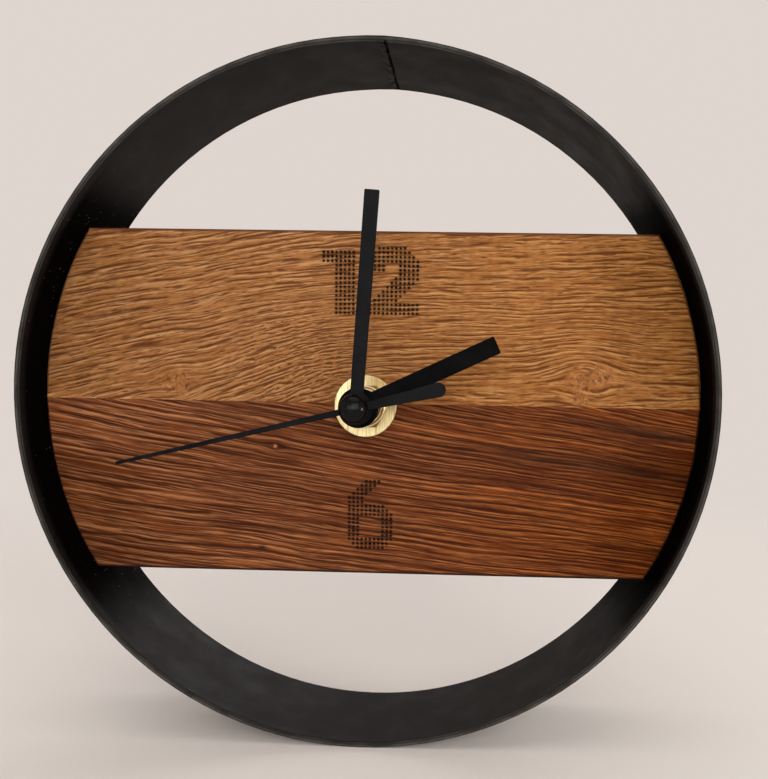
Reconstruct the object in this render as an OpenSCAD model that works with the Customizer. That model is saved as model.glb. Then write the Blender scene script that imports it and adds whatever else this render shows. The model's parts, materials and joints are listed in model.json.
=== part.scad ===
// Round wall clock: a black steel ring holds two oak boards, and a quartz movement sits in their back.
// The clock faces -Y, +X is to its right and +Z is up. The wall is the plane y = 0.
// The origin is the nail hole of the hanger, on the wall plane.

/* [Ring] */
// Outside diameter of the steel ring
ring_d = 170; // [150:1:220]
// Width of the steel strip, from the wall to the front rim
ring_depth = 32; // [31:0.5:40]
// Thickness of the steel strip
ring_t = 1.5; // [1:0.1:2.5]

/* [Boards] */
// Height of the two glued boards together
board_h = 86.8; // [83:0.1:100]
// Distance of the boards' middle below the middle of the ring
board_drop = 0.65; // [0:0.05:2]
// Height of the glued seam above the middle of the ring
seam_z = -0.25; // [-2:0.05:2]
// Thickness of the boards
board_t = 16; // [14.5:0.5:17.5]
// Depth of the boards' face behind the front rim of the ring
face_recess = 11.6; // [9:0.1:12.5]
// Gap between the board ends and the inside of the ring
board_gap = 0.25; // [0.1:0.05:0.6]
// Width of the chamfer on the boards' front edges
arris_w = 0.7; // [0.2:0.1:1]

/* [Numerals] */
// Width of one dot's cell, from dot to dot
dot_cell_w = 1.07; // [0.9:0.01:1.2]
// Diameter of one dot
dot_d = 0.62; // [0.4:0.02:0.7]
// Depth of one dot
dot_depth = 0.4; // [0.2:0.05:0.8]
// Height of the lowest row of the 12 above the middle of the ring
twelve_z = 22.4; // [20:0.1:23.5]
// Depth of the top row of the 6 below the middle of the ring
six_z = 20.1; // [19:0.1:22]
// Distance of the middle of the 6 to the right of the ring's middle
six_x = 0.5; // [-2:0.1:2]

/* [Movement] */
// Distance of the shaft to the right of the ring's middle
shaft_x = -0.9; // [-2:0.1:2]
// Distance of the shaft above the ring's middle
shaft_z = -0.9; // [-2:0.1:2]
// Width and height of the movement's case
case_w = 56; // [55.6:0.1:57]
// Depth of the movement's case
case_depth = 16; // [15.8:0.1:16.6]
// Wall of the case
case_wall = 1.2; // [1:0.1:1.3]
// Radius of the case's corners
case_corner = 3; // [1.5:0.5:5]
// Gap between the case's back and the wall
wall_gap = 0.7; // [0.2:0.1:0.8]
// Gap between the case and the pocket in the boards
pocket_gap = 0.7; // [0.3:0.1:1.2]
// Thickness of the plate that divides the case
plate_t = 0.8; // [0.6:0.1:0.9]
// Thickness of every wheel
wheel_t = 1; // [0.7:0.05:1.05]
// Gap between one layer of wheels and the next
wheel_gap = 0.6; // [0.45:0.05:0.65]
// Radius around the shaft at which the third wheel and the minute wheel stand
wheel_orbit_r = 9; // [8.8:0.05:9.2]
// Radius around the shaft at which the fifth wheel stands
fifth_orbit_r = 7.2; // [7.1:0.05:7.3]
// Radius around the fifth wheel at which the rotor stands
rotor_orbit_r = 6.16; // [6:0.02:6.3]

/* [Shaft] */
// Outside diameter of the threaded bush
bush_d = 7.9; // [7.6:0.1:8.2]
// Height of the bush above the boards' face
bush_h = 9.5; // [6:0.1:11]
// Outside diameter of the hour wheel's tube
hour_tube_d = 5; // [4.8:0.05:5.1]
// Outside diameter of the minute tube
minute_tube_d = 3.2; // [3:0.05:3.3]
// Diameter of the second hand's arbor and of the other arbors
arbor_d = 1; // [0.8:0.05:1.05]
// Radial clearance of a part that turns on or in another
run_gap = 0.05; // [0.02:0.01:0.08]
// Radial clearance of a part that is pressed on another
press_gap = 0.02; // [0.01:0.01:0.03]

/* [Fittings] */
// Outside diameter of the brass washer
washer_d = 15.7; // [13:0.1:18]
// Thickness of the brass washer
washer_t = 1; // [0.6:0.1:1.5]
// Width of the nut across its flats
nut_w = 10.4; // [10:0.1:12]
// Thickness of the nut
nut_t = 2.5; // [1.5:0.1:3.5]
// Thickness of the rubber washer
rubber_t = 0.7; // [0.4:0.1:1]
// Outside diameter of the rubber washer
rubber_d = 18; // [14:0.5:24]
// Thickness of the hanger's steel
hanger_t = 1; // [0.8:0.1:1.4]
// Height of the hanger's strip
hanger_h = 10; // [8:0.5:11]
// Gap between the movement's pocket and the hanger
hanger_gap = 2.5; // [1:0.1:3]
// Diameter of the hanger's nail hole
nail_hole_d = 5; // [3:0.5:6]
// Diameter of the screws in the ring
ring_screw_d = 3.4; // [2.5:0.1:4]
// Length of the screws in the ring
ring_screw_len = 20; // [12:1:28]

/* [Hands] */
// Length of the hour hand from the shaft
hour_len = 36.1; // [30:0.5:40]
// Width of the hour hand
hour_w = 4.3; // [3:0.1:6]
// Height of the hour hand above the boards' face
hour_h = 13.3; // [12.6:0.1:13.8]
// Length of the minute hand from the shaft
minute_len = 50; // [42:0.5:70]
// Width of the minute hand at its tip
minute_w = 3.5; // [2.5:0.1:5]
// Height of the minute hand above the boards' face
minute_h = 17.2; // [16.6:0.1:17.6]
// Length of the second hand from the shaft
second_len = 56.8; // [45:0.5:72]
// Width of the second hand at its middle
second_w = 1.5; // [1.2:0.1:2]
// Length of the second hand's counterweight tail
tail_len = 21.6; // [15:0.5:26]
// Width of the counterweight tail at its end
tail_w = 3.4; // [2.4:0.1:5]
// Height of the second hand above the boards' face
second_h = 20.8; // [20.2:0.1:22]
// Thickness of the hands
hand_t = 0.5; // [0.3:0.05:0.7]
// Diameter of the dome on the second hand
dome_d = 6.8; // [5:0.1:8]
// Height of the dome
dome_h = 2.8; // [1.5:0.1:3]
// Angle of the hour hand, clockwise from twelve
hour_angle = 64.6; // [0:0.1:360]
// Angle of the minute hand, clockwise from twelve
minute_angle = 3.8; // [0:0.1:360]
// Angle of the second hand, clockwise from twelve
second_angle = 256.2; // [0:0.1:360]

/* [Power] */
// Diameter of the battery
battery_d = 14.2; // [13.5:0.1:14.3]
// Length of the battery with its terminal
battery_len = 50.5; // [49.5:0.1:50.5]

/* [Hidden] */
$fn = 96;

// One overrun serves every cut that has to pass a surface
over = 0.5;

// Ring and boards, in depth from the wall
ring_r = ring_d / 2;
ring_inner_r = ring_r - ring_t;
face_y = -ring_depth + face_recess;
board_back_y = face_y + board_t;
board_r = ring_inner_r - board_gap;
board_top = board_h / 2 - board_drop;
board_foot = board_h / 2 + board_drop;

// The case, in depth from the wall
case_half = case_w / 2;
inner_half = case_half - case_wall;
case_rear_y = -wall_gap;
case_front_y = case_rear_y - case_depth;
inner_rear_y = case_rear_y - case_wall;
inner_front_y = case_front_y + case_wall;
pocket_y = case_front_y - rubber_t;
pocket_w = case_w + 2 * pocket_gap;

// The hanger lies on the wood above the pocket, and the nail hole is in its middle
nail_rise = shaft_z + pocket_w / 2 + hanger_gap + hanger_h / 2;
ring_z = -nail_rise;

// Layers of wheels, counted from the front: 0 to 2 before the middle plate, 3 to 5 behind it
end_play = 0.3;
plate_gap = 0.5;
function layer_y(k) = inner_front_y + end_play + k * (wheel_t + wheel_gap)
    + (k > 2 ? plate_t + 2 * plate_gap - wheel_gap : 0);
plate_front_y = layer_y(2) + wheel_t + plate_gap;
plate_rear_y = plate_front_y + plate_t;

// Radii on the shaft
arbor_r = arbor_d / 2;
bush_r = bush_d / 2;
bush_bore_r = hour_tube_d / 2 + 2 * run_gap;
minute_tube_r = minute_tube_d / 2;
hour_tube_r = hour_tube_d / 2;
pivot_depth = case_wall / 2;
shaft_hole_r = bush_r + 0.35;

// Teeth of the wheels and pinions
pinion_teeth = 8;
fifth_teeth = 48;
second_teeth = 40;
third_teeth = 64;
centre_teeth = 60;
cannon_teeth = 15;
minute_teeth = 45;
minute_pinion_teeth = 12;
hour_teeth = 48;
// A tooth's four corners: the turn from its middle in shares of the pitch, the reach in shares of the module
tooth_turn_shares = [-0.27, -0.1, 0.1, 0.27];
tooth_reach_shares = [-1.1, 0.7, 0.7, -1.1];

// Directions of the wheels around the shaft, counted from +X towards +Z
third_turn = 15;
minute_turn = 145;
fifth_turn = 100;
function polar(reach, turn) = [reach * cos(turn), reach * sin(turn)];
third_at = polar(wheel_orbit_r, third_turn);
minute_at = polar(wheel_orbit_r, minute_turn);
fifth_at = polar(fifth_orbit_r, fifth_turn);
rotor_at = fifth_at + polar(rotor_orbit_r, fifth_turn);

// Modules, from the distance between the arbors
rotor_module = 2 * rotor_orbit_r / (pinion_teeth + fifth_teeth);
fifth_module = 2 * fifth_orbit_r / (pinion_teeth + second_teeth);
third_module = 2 * wheel_orbit_r / (pinion_teeth + third_teeth);
centre_module = 2 * wheel_orbit_r / (pinion_teeth + centre_teeth);
cannon_module = 2 * wheel_orbit_r / (cannon_teeth + minute_teeth);
hour_module = 2 * wheel_orbit_r / (minute_pinion_teeth + hour_teeth);

// Battery bay along the bottom of the case, and the chamber of the wheels above it
bay_gap = 0.5;
bay_bottom_z = -inner_half;
bay_top_z = bay_bottom_z + battery_d + 2 * bay_gap;
bay_z = (bay_bottom_z + bay_top_z) / 2;
chamber_z = bay_top_z + case_wall;
battery_y = inner_front_y + battery_d / 2 + bay_gap / 2;
terminal_r = 2.7;
terminal_h = 1.2;
contact_t = 0.4;
contact_w = 4;
contact_gap = 0.1;
contact_x = inner_half - contact_gap - contact_t;
contact_drop = 4.5;
contact_spring = 1.05;
strip_y = plate_rear_y + 0.5;
strip_w = 3;

// Middle plate, its posts and what stands on it
plate_top_z = rotor_at[1] + 3.4;
post_r = 1.6;
post_pin_r = 0.9;
post_in = 2.6;
post_places = [for (side = [-1, 1], z = [chamber_z + post_in + 1, plate_top_z - post_in])
    [side * (inner_half - post_in), z]];
stand_h = 0.9;
stand_r = 1.2;
stand_pin_r = 0.7;
stand_y = plate_rear_y + stand_h;

// Stepping motor: magnet, stator and coil
magnet_r = 2.8;
magnet_t = 2;
stator_t = 1;
stator_y = stand_y + stator_t / 2;
stator_ring_r = 4.6;
stator_hole_r = magnet_r + 0.35;
stator_notch_r = 0.4;
stator_bar_h = 4;
stator_arm_x = 12.2;
stator_arm_w = 3;
stator_stand_x = 8.5;
core_h = 2.4;
coil_rise = 8.45;
coil_z = rotor_at[1] + coil_rise;
bobbin_r = 2.1;
bobbin_bore_r = 1.45;
bobbin_flange_r = 4.4;
bobbin_flange_t = 0.9;
bobbin_half = stator_arm_x - stator_arm_w / 2 - 0.2;
winding_r = 3.7;
winding_gap = 0.05;

// Circuit board and its parts
pcb_t = 0.8;
pcb_x = third_at[0] + third_module * (third_teeth / 2 + 1) + 0.6;
pcb_right = contact_x - contact_gap;
pcb_low_z = chamber_z + contact_gap * 2 + contact_t + contact_gap;
pcb_top_z = plate_top_z - 0.3;
pcb_mid_x = (pcb_x + pcb_right) / 2;
chip_r = 2.6;
chip_h = 1;
chip_z = 7.5;
crystal_r = 1;
crystal_len = 6;
crystal_z = -2.5;

// Setting knob in its well
knob_r = 4.4;
knob_t = 2.4;
knob_ribs = 30;
knob_rib_h = 0.25;
knob_sink = 0.2;
well_gap = 0.5;
well_wall = 0.8;
well_floor_y = inner_rear_y - 1.7;
lip_t = 0.9;
lip_h = 1.4;
lip_gap = 0.12;
lip_half = inner_half - lip_gap;

// Small parts on the shaft
bush_flange_r = 5.2;
bush_flange_t = 0.6;
hour_boss_d = 9.6;
minute_boss_d = 7.8;
minute_root_w = 3.1;
hand_pipe_wall = 0.7;
hand_pipe_h = 1.8;
hand_corner = 0.35;
second_tip_w = 0.8;
tail_end = tail_len - tail_w / 2;
second_pipe_r = 1;
second_pipe_h = 1.6;
tube_proud = 0.3;

// Screws
screw_gap = 0.05;
ring_screw_head_r = 3.2;
ring_screw_sink = 0.1;
ring_screw_tilt = 14.5;
ring_screw_y = (face_y + board_back_y) / 2;
screw_point_share = 0.2;
screw_slot_w = 0.8;
screw_slot_depth = 0.7;
hanger_screw_r = 0.95;
hanger_screw_head_r = 2;
hanger_screw_len = 9;
hanger_half = 22;
hanger_ear_w = 9;
hanger_slope_w = 4;
hanger_hole_x = hanger_half - hanger_ear_w / 2;
hanger_foot_x = hanger_half - hanger_ear_w;
hanger_flat_x = hanger_foot_x - hanger_slope_w;

// Numerals as rows of dots. Each run is [row, first dot, last dot], counted in shares of the dot
// pitch from the numeral's left side and from its top row.
one_run_shares = [for (r = [0:2]) [r, 0, 7], for (r = [3:14]) [r, 3, 7]];
two_run_shares = [[0, 3, 9], [1, 2, 10], [2, 1, 11], [3, 0, 12], for (r = [4, 5], c = [0, 8]) [r, c, c + 4],
                  [6, 8, 12], [7, 7, 12], for (r = [8:12]) [r, 14 - r, 19 - r], for (r = [13:15]) [r, 0, 12]];
six_run_shares = [for (r = [0:3]) [r, 4 - r, 7 - r], for (r = [4, 5]) [r, 0, 3],
                  for (r = [6:8]) [r, 0, r + 2], for (r = [9:13], c = [0, 8]) [r, c, c + 2],
                  [14, 0, 10], [15, 1, 9], [16, 2, 8]];
two_column_share = 10;
twelve_width_share = 22;
one_height_share = 14;
two_height_share = 15;
six_width_share = 10;

// Places

module at_ring() translate([0, 0, ring_z]) children();

module at_shaft() translate([shaft_x, 0, ring_z + shaft_z]) children();

// A flat shape drawn in x and z, from its rear face forward to its front face
module slab(rear_y, front_y) translate([0, rear_y, 0]) rotate([90, 0, 0])
    linear_extrude(rear_y - front_y) children();

module disc(rear_y, front_y, r) slab(rear_y, front_y) circle(r);

module disc_at(place, rear_y, front_y, r) slab(rear_y, front_y) translate(place) circle(r);

module round_rect(w, h, r) {
    square([w - 2 * r, h], center = true);
    square([w, h - 2 * r], center = true);
    for (x = [-1, 1], z = [-1, 1]) translate([x * (w / 2 - r), z * (h / 2 - r)]) circle(r);
}

// A flat shape between two corners
module span(low, high) translate(low) square(high - low);

// Wheels

function gear_points(teeth, size, phase) = [for (i = [0:teeth - 1], k = [0:3])
    let (turn = phase + (i + tooth_turn_shares[k]) * 360 / teeth)
    size * (teeth / 2 + tooth_reach_shares[k]) * [cos(turn), sin(turn)]];

// The driven wheel shows a gap where the driving one shows a tooth
function gap_phase(teeth, turn) = turn + 180 + 180 / teeth;

module gear(layer, teeth, size, phase) slab(layer_y(layer) + wheel_t, layer_y(layer))
    polygon(gear_points(teeth, size, phase));

module arbor(rear_y, front_y) disc(rear_y, front_y, arbor_r);

module at_arbor(place) translate([place[0], 0, place[1]]) children();

// Screws

// A countersunk screw along +Z, its head's face at z = 0 and its point below
module screw(r, head_r, len, head_h) difference() {
    rotate_extrude()
        polygon([[0, 0], [head_r, 0], [r, -head_h], [r, -len * (1 - screw_point_share)], [0, -len]]);
    for (turn = [0, 90]) rotate([0, 0, turn])
        translate([-head_r / 2, -screw_slot_w / 2, -screw_slot_depth])
            cube([head_r, screw_slot_w, screw_slot_depth + over]);
}

// The hole for it, wider by the gap
module screw_hole(r, head_r, len, head_h, gap) rotate_extrude()
    polygon([[0, over], [head_r + gap, over], [head_r + gap, 0], [r + gap, -head_h], [r + gap, -len - gap],
             [0, -len - gap]]);

module at_ring_screws() at_ring() for (side = [90, 270], tilt = [-1, 1])
    translate([0, ring_screw_y, 0]) rotate([0, side + tilt * ring_screw_tilt, 0])
        translate([0, 0, ring_r - ring_screw_sink]) children();

module at_hanger_screws() for (side = [-1, 1])
    translate([side * hanger_hole_x, board_back_y + hanger_t, 0]) rotate([-90, 0, 0]) children();

// Ring and boards

module steel_ring() color([0.07, 0.07, 0.08]) difference() {
    at_ring() slab(0, -ring_depth) difference() {
        circle(ring_r);
        circle(ring_inner_r);
    }
    at_ring_screws() screw_hole(ring_screw_d / 2, ring_screw_head_r, ring_screw_len, ring_t, screw_gap);
}

module ring_screws() color([0.1, 0.1, 0.1]) at_ring_screws()
    screw(ring_screw_d / 2, ring_screw_head_r, ring_screw_len, ring_t);

// The disc that both boards are cut from, with its chamfered front edge
module board_disc() at_ring() translate([0, board_back_y, 0]) rotate([90, 0, 0]) rotate_extrude()
    polygon([[0, 0], [board_r, 0], [board_r, board_t - arris_w], [board_r - arris_w, board_t], [0, board_t]]);

// One board: a long bar with a chamfer on its outer front edge, cut round at both ends
module board(low_z, high_z, chamfer_z) difference() {
    intersection() {
        board_disc();
        at_ring() rotate([90, 0, 90]) translate([0, 0, -ring_r]) linear_extrude(ring_d)
            difference() {
                span([face_y, low_z], [board_back_y, high_z]);
                translate([face_y, chamfer_z]) rotate([0, 0, 45])
                    square(arris_w * sqrt(2), center = true);
            }
    }
    at_shaft() slab(board_back_y + over, pocket_y)
        round_rect(pocket_w, pocket_w, case_corner + pocket_gap);
    at_shaft() disc(board_back_y, face_y - over, shaft_hole_r);
    at_ring_screws() screw_hole(ring_screw_d / 2, ring_screw_head_r, ring_screw_len, ring_t, screw_gap);
    at_hanger_screws() screw_hole(hanger_screw_r, hanger_screw_head_r, hanger_screw_len, hanger_t, screw_gap);
}

// Dots of one numeral, from its top left corner
module dots(runs, left_x, top_z) at_ring() slab(face_y + dot_depth, face_y - over)
    for (run = runs, c = [run[1]:run[2]])
        translate([left_x + c * dot_cell_w, top_z - run[0] * dot_cell_w]) circle(dot_d / 2);

module upper_board() color([0.62, 0.4, 0.2]) difference() {
    board(seam_z, board_top, board_top);
    dots(one_run_shares, -twelve_width_share / 2 * dot_cell_w, twelve_z + one_height_share * dot_cell_w);
    dots(two_run_shares, (two_column_share - twelve_width_share / 2) * dot_cell_w,
         twelve_z + two_height_share * dot_cell_w);
}

module lower_board() color([0.42, 0.2, 0.1]) difference() {
    board(-board_foot, seam_z, -board_foot);
    dots(six_run_shares, six_x - six_width_share / 2 * dot_cell_w, -six_z);
}

// Hanger

module hanger_plate() color([0.6, 0.6, 0.62]) difference() {
    translate([0, 0, -hanger_h / 2]) linear_extrude(hanger_h)
        polygon([[-hanger_half, board_back_y], [-hanger_foot_x, board_back_y], [-hanger_flat_x, -hanger_t],
                 [hanger_flat_x, -hanger_t], [hanger_foot_x, board_back_y], [hanger_half, board_back_y],
                 [hanger_half, board_back_y + hanger_t], [hanger_foot_x, board_back_y + hanger_t],
                 [hanger_flat_x, 0], [-hanger_flat_x, 0], [-hanger_foot_x, board_back_y + hanger_t],
                 [-hanger_half, board_back_y + hanger_t]]);
    disc(over, board_back_y, nail_hole_d / 2);
    at_hanger_screws() screw_hole(hanger_screw_r, hanger_screw_head_r, hanger_screw_len, hanger_t, screw_gap);
}

module hanger_screws() color([0.7, 0.7, 0.7]) at_hanger_screws()
    screw(hanger_screw_r, hanger_screw_head_r, hanger_screw_len, hanger_t);

// Fittings on the bush

module rubber_washer() color([0.12, 0.12, 0.12]) at_shaft() slab(case_front_y, pocket_y) difference() {
    circle(rubber_d / 2);
    circle(bush_r + run_gap);
}

module brass_washer() color([0.85, 0.7, 0.35]) at_shaft() slab(face_y, face_y - washer_t) difference() {
    circle(washer_d / 2);
    circle(bush_r + run_gap);
}

module hex_nut() color([0.8, 0.65, 0.3]) at_shaft()
    slab(face_y - washer_t, face_y - washer_t - nut_t) difference() {
        circle(nut_w / 2 / cos(30), $fn = 6);
        circle(bush_r + run_gap);
    }

module threaded_bush() color([0.8, 0.66, 0.35]) at_shaft() difference() {
    union() {
        disc(inner_front_y, face_y - bush_h, bush_r);
        disc(inner_front_y, inner_front_y - bush_flange_t, bush_flange_r);
    }
    disc(inner_front_y + over, face_y - bush_h - over, bush_bore_r);
}

// Case

// The floor plan of the chamber that holds the wheels
module chamber() span([-inner_half, chamber_z], [inner_half, inner_half]);

module case_front() color([0.09, 0.09, 0.1]) at_shaft() {
    difference() {
        slab(inner_rear_y, case_front_y) round_rect(case_w, case_w, case_corner);
        slab(inner_rear_y + over, inner_front_y) {
            chamber();
            span([-inner_half, bay_bottom_z], [inner_half, bay_top_z]);
        }
        disc(inner_front_y + over, case_front_y - over, bush_r + press_gap);
        disc(inner_front_y + over, inner_front_y - bush_flange_t, bush_flange_r + press_gap);
        for (place = [third_at, minute_at])
            disc_at(place, inner_front_y + over, inner_front_y - pivot_depth, arbor_r + run_gap);
        for (side = [-1, 1])
            translate([side * contact_x, strip_y, bay_top_z]) contact_slot(side);
    }
    for (place = post_places) {
        disc_at(place, plate_front_y, inner_front_y, post_r);
        disc_at(place, plate_rear_y + post_pin_r / 2, plate_front_y, post_pin_r);
    }
}

// The notch in the bay's roof that a contact passes
module contact_slot(side) translate([side > 0 ? -contact_gap : -contact_t - contact_gap, -contact_gap, -over])
    cube([contact_t + 3 * contact_gap, inner_rear_y - strip_y + over, case_wall + 2 * over]);

module middle_plate() color([0.85, 0.85, 0.8]) at_shaft() {
    slab(plate_rear_y, plate_front_y) difference() {
        span([-inner_half + lip_gap, chamber_z + lip_gap], [inner_half - lip_gap, plate_top_z]);
        for (place = [[0, 0], minute_at, fifth_at, rotor_at]) translate(place) circle(arbor_r + run_gap);
        translate(third_at) circle(centre_module * (pinion_teeth / 2 + 1) + end_play);
        for (place = post_places) translate(place) circle(post_pin_r + run_gap);
    }
    for (side = [-1, 1]) {
        disc_at(rotor_at + [side * stator_stand_x, 0], stand_y, plate_rear_y, stand_r);
        disc_at(rotor_at + [side * stator_stand_x, 0], stand_y + stator_t + end_play, stand_y, stand_pin_r);
    }
    for (z = [pcb_low_z + stand_r * 2, pcb_top_z - stand_r * 4])
        disc_at([pcb_mid_x, z], stand_y, plate_rear_y, stand_r);
}

module case_rear() color([0.1, 0.1, 0.11]) at_shaft() difference() {
    union() {
        slab(case_rear_y, inner_rear_y) intersection() {
            round_rect(case_w, case_w, case_corner);
            span([-case_half, bay_top_z], [case_half, case_half]);
        }
        slab(inner_rear_y, inner_rear_y - lip_h) difference() {
            span([-lip_half, chamber_z + lip_gap + strip_w], [lip_half, lip_half]);
            span([lip_t - lip_half, chamber_z - over], [lip_half - lip_t, lip_half - lip_t]);
        }
        disc_at(minute_at, inner_rear_y, well_floor_y - well_wall, knob_r + well_gap + well_wall);
    }
    disc_at(minute_at, case_rear_y + over, well_floor_y, knob_r + well_gap);
    disc_at(minute_at, case_rear_y, well_floor_y - well_wall - over, arbor_r + run_gap);
    for (place = [[0, 0], third_at, fifth_at, rotor_at])
        disc_at(place, inner_rear_y + pivot_depth, inner_rear_y - over, arbor_r + run_gap);
}

// Power

module battery() color([0.15, 0.15, 0.17]) at_shaft() translate([0, battery_y, bay_z]) rotate([0, 90, 0]) {
    translate([0, 0, -battery_len / 2]) cylinder(h = battery_len - terminal_h, r = battery_d / 2);
    translate([0, 0, battery_len / 2 - terminal_h]) cylinder(h = terminal_h, r = terminal_r);
}

module contact_positive() color([0.75, 0.75, 0.72]) at_shaft() {
    translate([contact_x, strip_y, bay_z - contact_drop])
        cube([contact_t, contact_w, chamber_z + contact_w - bay_z + contact_drop]);
    translate([battery_len / 2 + contact_gap, battery_y, bay_z]) rotate([0, 90, 0])
        cylinder(h = contact_x - battery_len / 2, r = terminal_r);
}

// A plate at the bay's left end with a bent spring tongue, and a strip along the bay's roof
module contact_negative() color([0.75, 0.75, 0.72]) at_shaft() {
    translate([-contact_x - contact_t, strip_y, bay_z - contact_drop])
        cube([contact_t, contact_w, chamber_z + contact_gap + contact_t - bay_z + contact_drop]);
    translate([-contact_x - contact_t, strip_y, chamber_z + contact_gap])
        cube([contact_x + contact_t + pcb_mid_x, strip_w, contact_t]);
    translate([0, strip_y, 0]) mirror([0, 1, 0]) rotate([90, 0, 0]) linear_extrude(contact_w)
        polygon([for (side = [0, 1], k = [0:2]) let (step = side > 0 ? 2 - k : k)
            [-contact_x - contact_gap + side * contact_t + (step == 1 ? contact_spring - contact_t : 0),
             bay_z + (step - 1) * contact_drop]]);
}

// Circuit board

module circuit_board() color([0.1, 0.35, 0.2]) at_shaft()
    slab(stand_y + pcb_t, stand_y) span([pcb_x, pcb_low_z], [pcb_right, pcb_top_z]);

module chip() color([0.05, 0.05, 0.05]) at_shaft()
    disc_at([pcb_mid_x, chip_z], stand_y + pcb_t + chip_h, stand_y + pcb_t, chip_r);

module quartz_crystal() color([0.8, 0.8, 0.8]) at_shaft()
    translate([pcb_mid_x, stand_y + pcb_t + crystal_r, crystal_z]) cylinder(h = crystal_len, r = crystal_r);

// Stepping motor

module along_coil() translate([rotor_at[0], stator_y, coil_z]) rotate([0, 90, 0]) children();

module coil_bobbin() color([0.9, 0.88, 0.8]) at_shaft() along_coil() difference() {
    union() {
        cylinder(h = 2 * bobbin_half, r = bobbin_r, center = true);
        for (side = [-1, 1]) translate([0, 0, side * (bobbin_half - bobbin_flange_t / 2)])
            cylinder(h = bobbin_flange_t, r = bobbin_flange_r, center = true);
    }
    cylinder(h = 2 * bobbin_half + over, r = bobbin_bore_r, center = true);
}

module coil_winding() color([0.75, 0.4, 0.15]) at_shaft() along_coil() difference() {
    cylinder(h = 2 * (bobbin_half - bobbin_flange_t - winding_gap), r = winding_r, center = true);
    cylinder(h = 2 * bobbin_half, r = bobbin_r + winding_gap, center = true);
}

module stator() color([0.6, 0.6, 0.6]) at_shaft() slab(stand_y + stator_t, stand_y) difference() {
    translate(rotor_at) union() {
        circle(stator_ring_r);
        square([2 * stator_arm_x, stator_bar_h], center = true);
        for (side = [-1, 1]) translate([side * stator_arm_x - stator_arm_w / 2, -stator_bar_h / 2])
            square([stator_arm_w, coil_rise + (core_h + stator_bar_h) / 2]);
        translate([0, coil_rise]) square([2 * stator_arm_x, core_h], center = true);
    }
    translate(rotor_at) {
        circle(stator_hole_r);
        for (side = [-1, 1]) {
            translate([0, side * stator_hole_r]) circle(stator_notch_r);
            translate([side * stator_stand_x, 0]) circle(stand_pin_r + run_gap);
        }
    }
}

module rotor_magnet() color([0.35, 0.35, 0.38]) at_shaft()
    slab(stator_y + magnet_t / 2, stator_y - magnet_t / 2) translate(rotor_at) difference() {
        circle(magnet_r);
        circle(arbor_r + press_gap);
    }

module rotor_pinion() color([0.9, 0.9, 0.9]) at_shaft() at_arbor(rotor_at) {
    gear(5, pinion_teeth, rotor_module, fifth_turn + 180);
    arbor(inner_rear_y + pivot_depth - contact_gap, plate_front_y);
}

// Going train

module fifth_wheel() color([0.9, 0.9, 0.85]) at_shaft() at_arbor(fifth_at) {
    gear(5, fifth_teeth, rotor_module, gap_phase(fifth_teeth, fifth_turn + 180));
    gear(4, pinion_teeth, fifth_module, fifth_turn + 180);
    arbor(inner_rear_y + pivot_depth - contact_gap, plate_front_y);
}

module second_wheel() color([0.9, 0.9, 0.85]) at_shaft() difference() {
    gear(4, second_teeth, fifth_module, gap_phase(second_teeth, fifth_turn + 180));
    disc(layer_y(4) + wheel_t + over, layer_y(4) - over, arbor_r + press_gap);
}

module second_arbor() color([0.8, 0.8, 0.82]) at_shaft() {
    gear(3, pinion_teeth, third_module, third_turn);
    arbor(inner_rear_y + pivot_depth - contact_gap, face_y - second_h - hand_t);
}

module third_wheel() color([0.9, 0.9, 0.85]) at_shaft() at_arbor(third_at) {
    gear(3, third_teeth, third_module, gap_phase(third_teeth, third_turn));
    slab(layer_y(3), layer_y(2)) polygon(gear_points(pinion_teeth, centre_module, third_turn + 180));
    arbor(inner_rear_y + pivot_depth - contact_gap, inner_front_y - pivot_depth + contact_gap);
}

module centre_wheel() color([0.85, 0.7, 0.4]) at_shaft() difference() {
    gear(2, centre_teeth, centre_module, gap_phase(centre_teeth, third_turn + 180));
    disc(layer_y(2) + wheel_t + over, layer_y(2) - over, minute_tube_r + run_gap);
}

// Motion work

module cannon_pinion() color([0.8, 0.8, 0.82]) at_shaft() difference() {
    union() {
        gear(1, cannon_teeth, cannon_module, minute_turn);
        disc(plate_front_y - end_play / 2, face_y - minute_h - hand_t - tube_proud, minute_tube_r);
    }
    disc(plate_front_y, face_y - minute_h - hand_t - tube_proud - over, arbor_r + run_gap);
}

module minute_wheel() color([0.9, 0.9, 0.85]) at_shaft() at_arbor(minute_at) {
    gear(1, minute_teeth, cannon_module, gap_phase(minute_teeth, minute_turn));
    slab(layer_y(1), layer_y(0)) polygon(gear_points(minute_pinion_teeth, hour_module, minute_turn + 180));
    arbor(case_rear_y - knob_sink, inner_front_y - pivot_depth + contact_gap);
}

module setting_knob() color([0.12, 0.12, 0.12]) at_shaft() at_arbor(minute_at)
    slab(case_rear_y - knob_sink, case_rear_y - knob_sink - knob_t) difference() {
        polygon([for (i = [0:2 * knob_ribs - 1])
            (knob_r - (i % 2) * knob_rib_h) * [cos(i * 180 / knob_ribs), sin(i * 180 / knob_ribs)]]);
        circle(arbor_r + press_gap);
    }

module hour_wheel() color([0.9, 0.9, 0.85]) at_shaft() difference() {
    union() {
        gear(0, hour_teeth, hour_module, gap_phase(hour_teeth, minute_turn + 180));
        disc(layer_y(0), face_y - hour_h - hand_t - tube_proud, hour_tube_r);
    }
    disc(layer_y(0) + wheel_t + over, face_y - hour_h - hand_t - tube_proud - over, minute_tube_r + run_gap);
}

// Hands

// The blade is drawn towards +Z and turned clockwise to its hour
module clockwise(angle) rotate([0, 0, -angle]) children();

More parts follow.
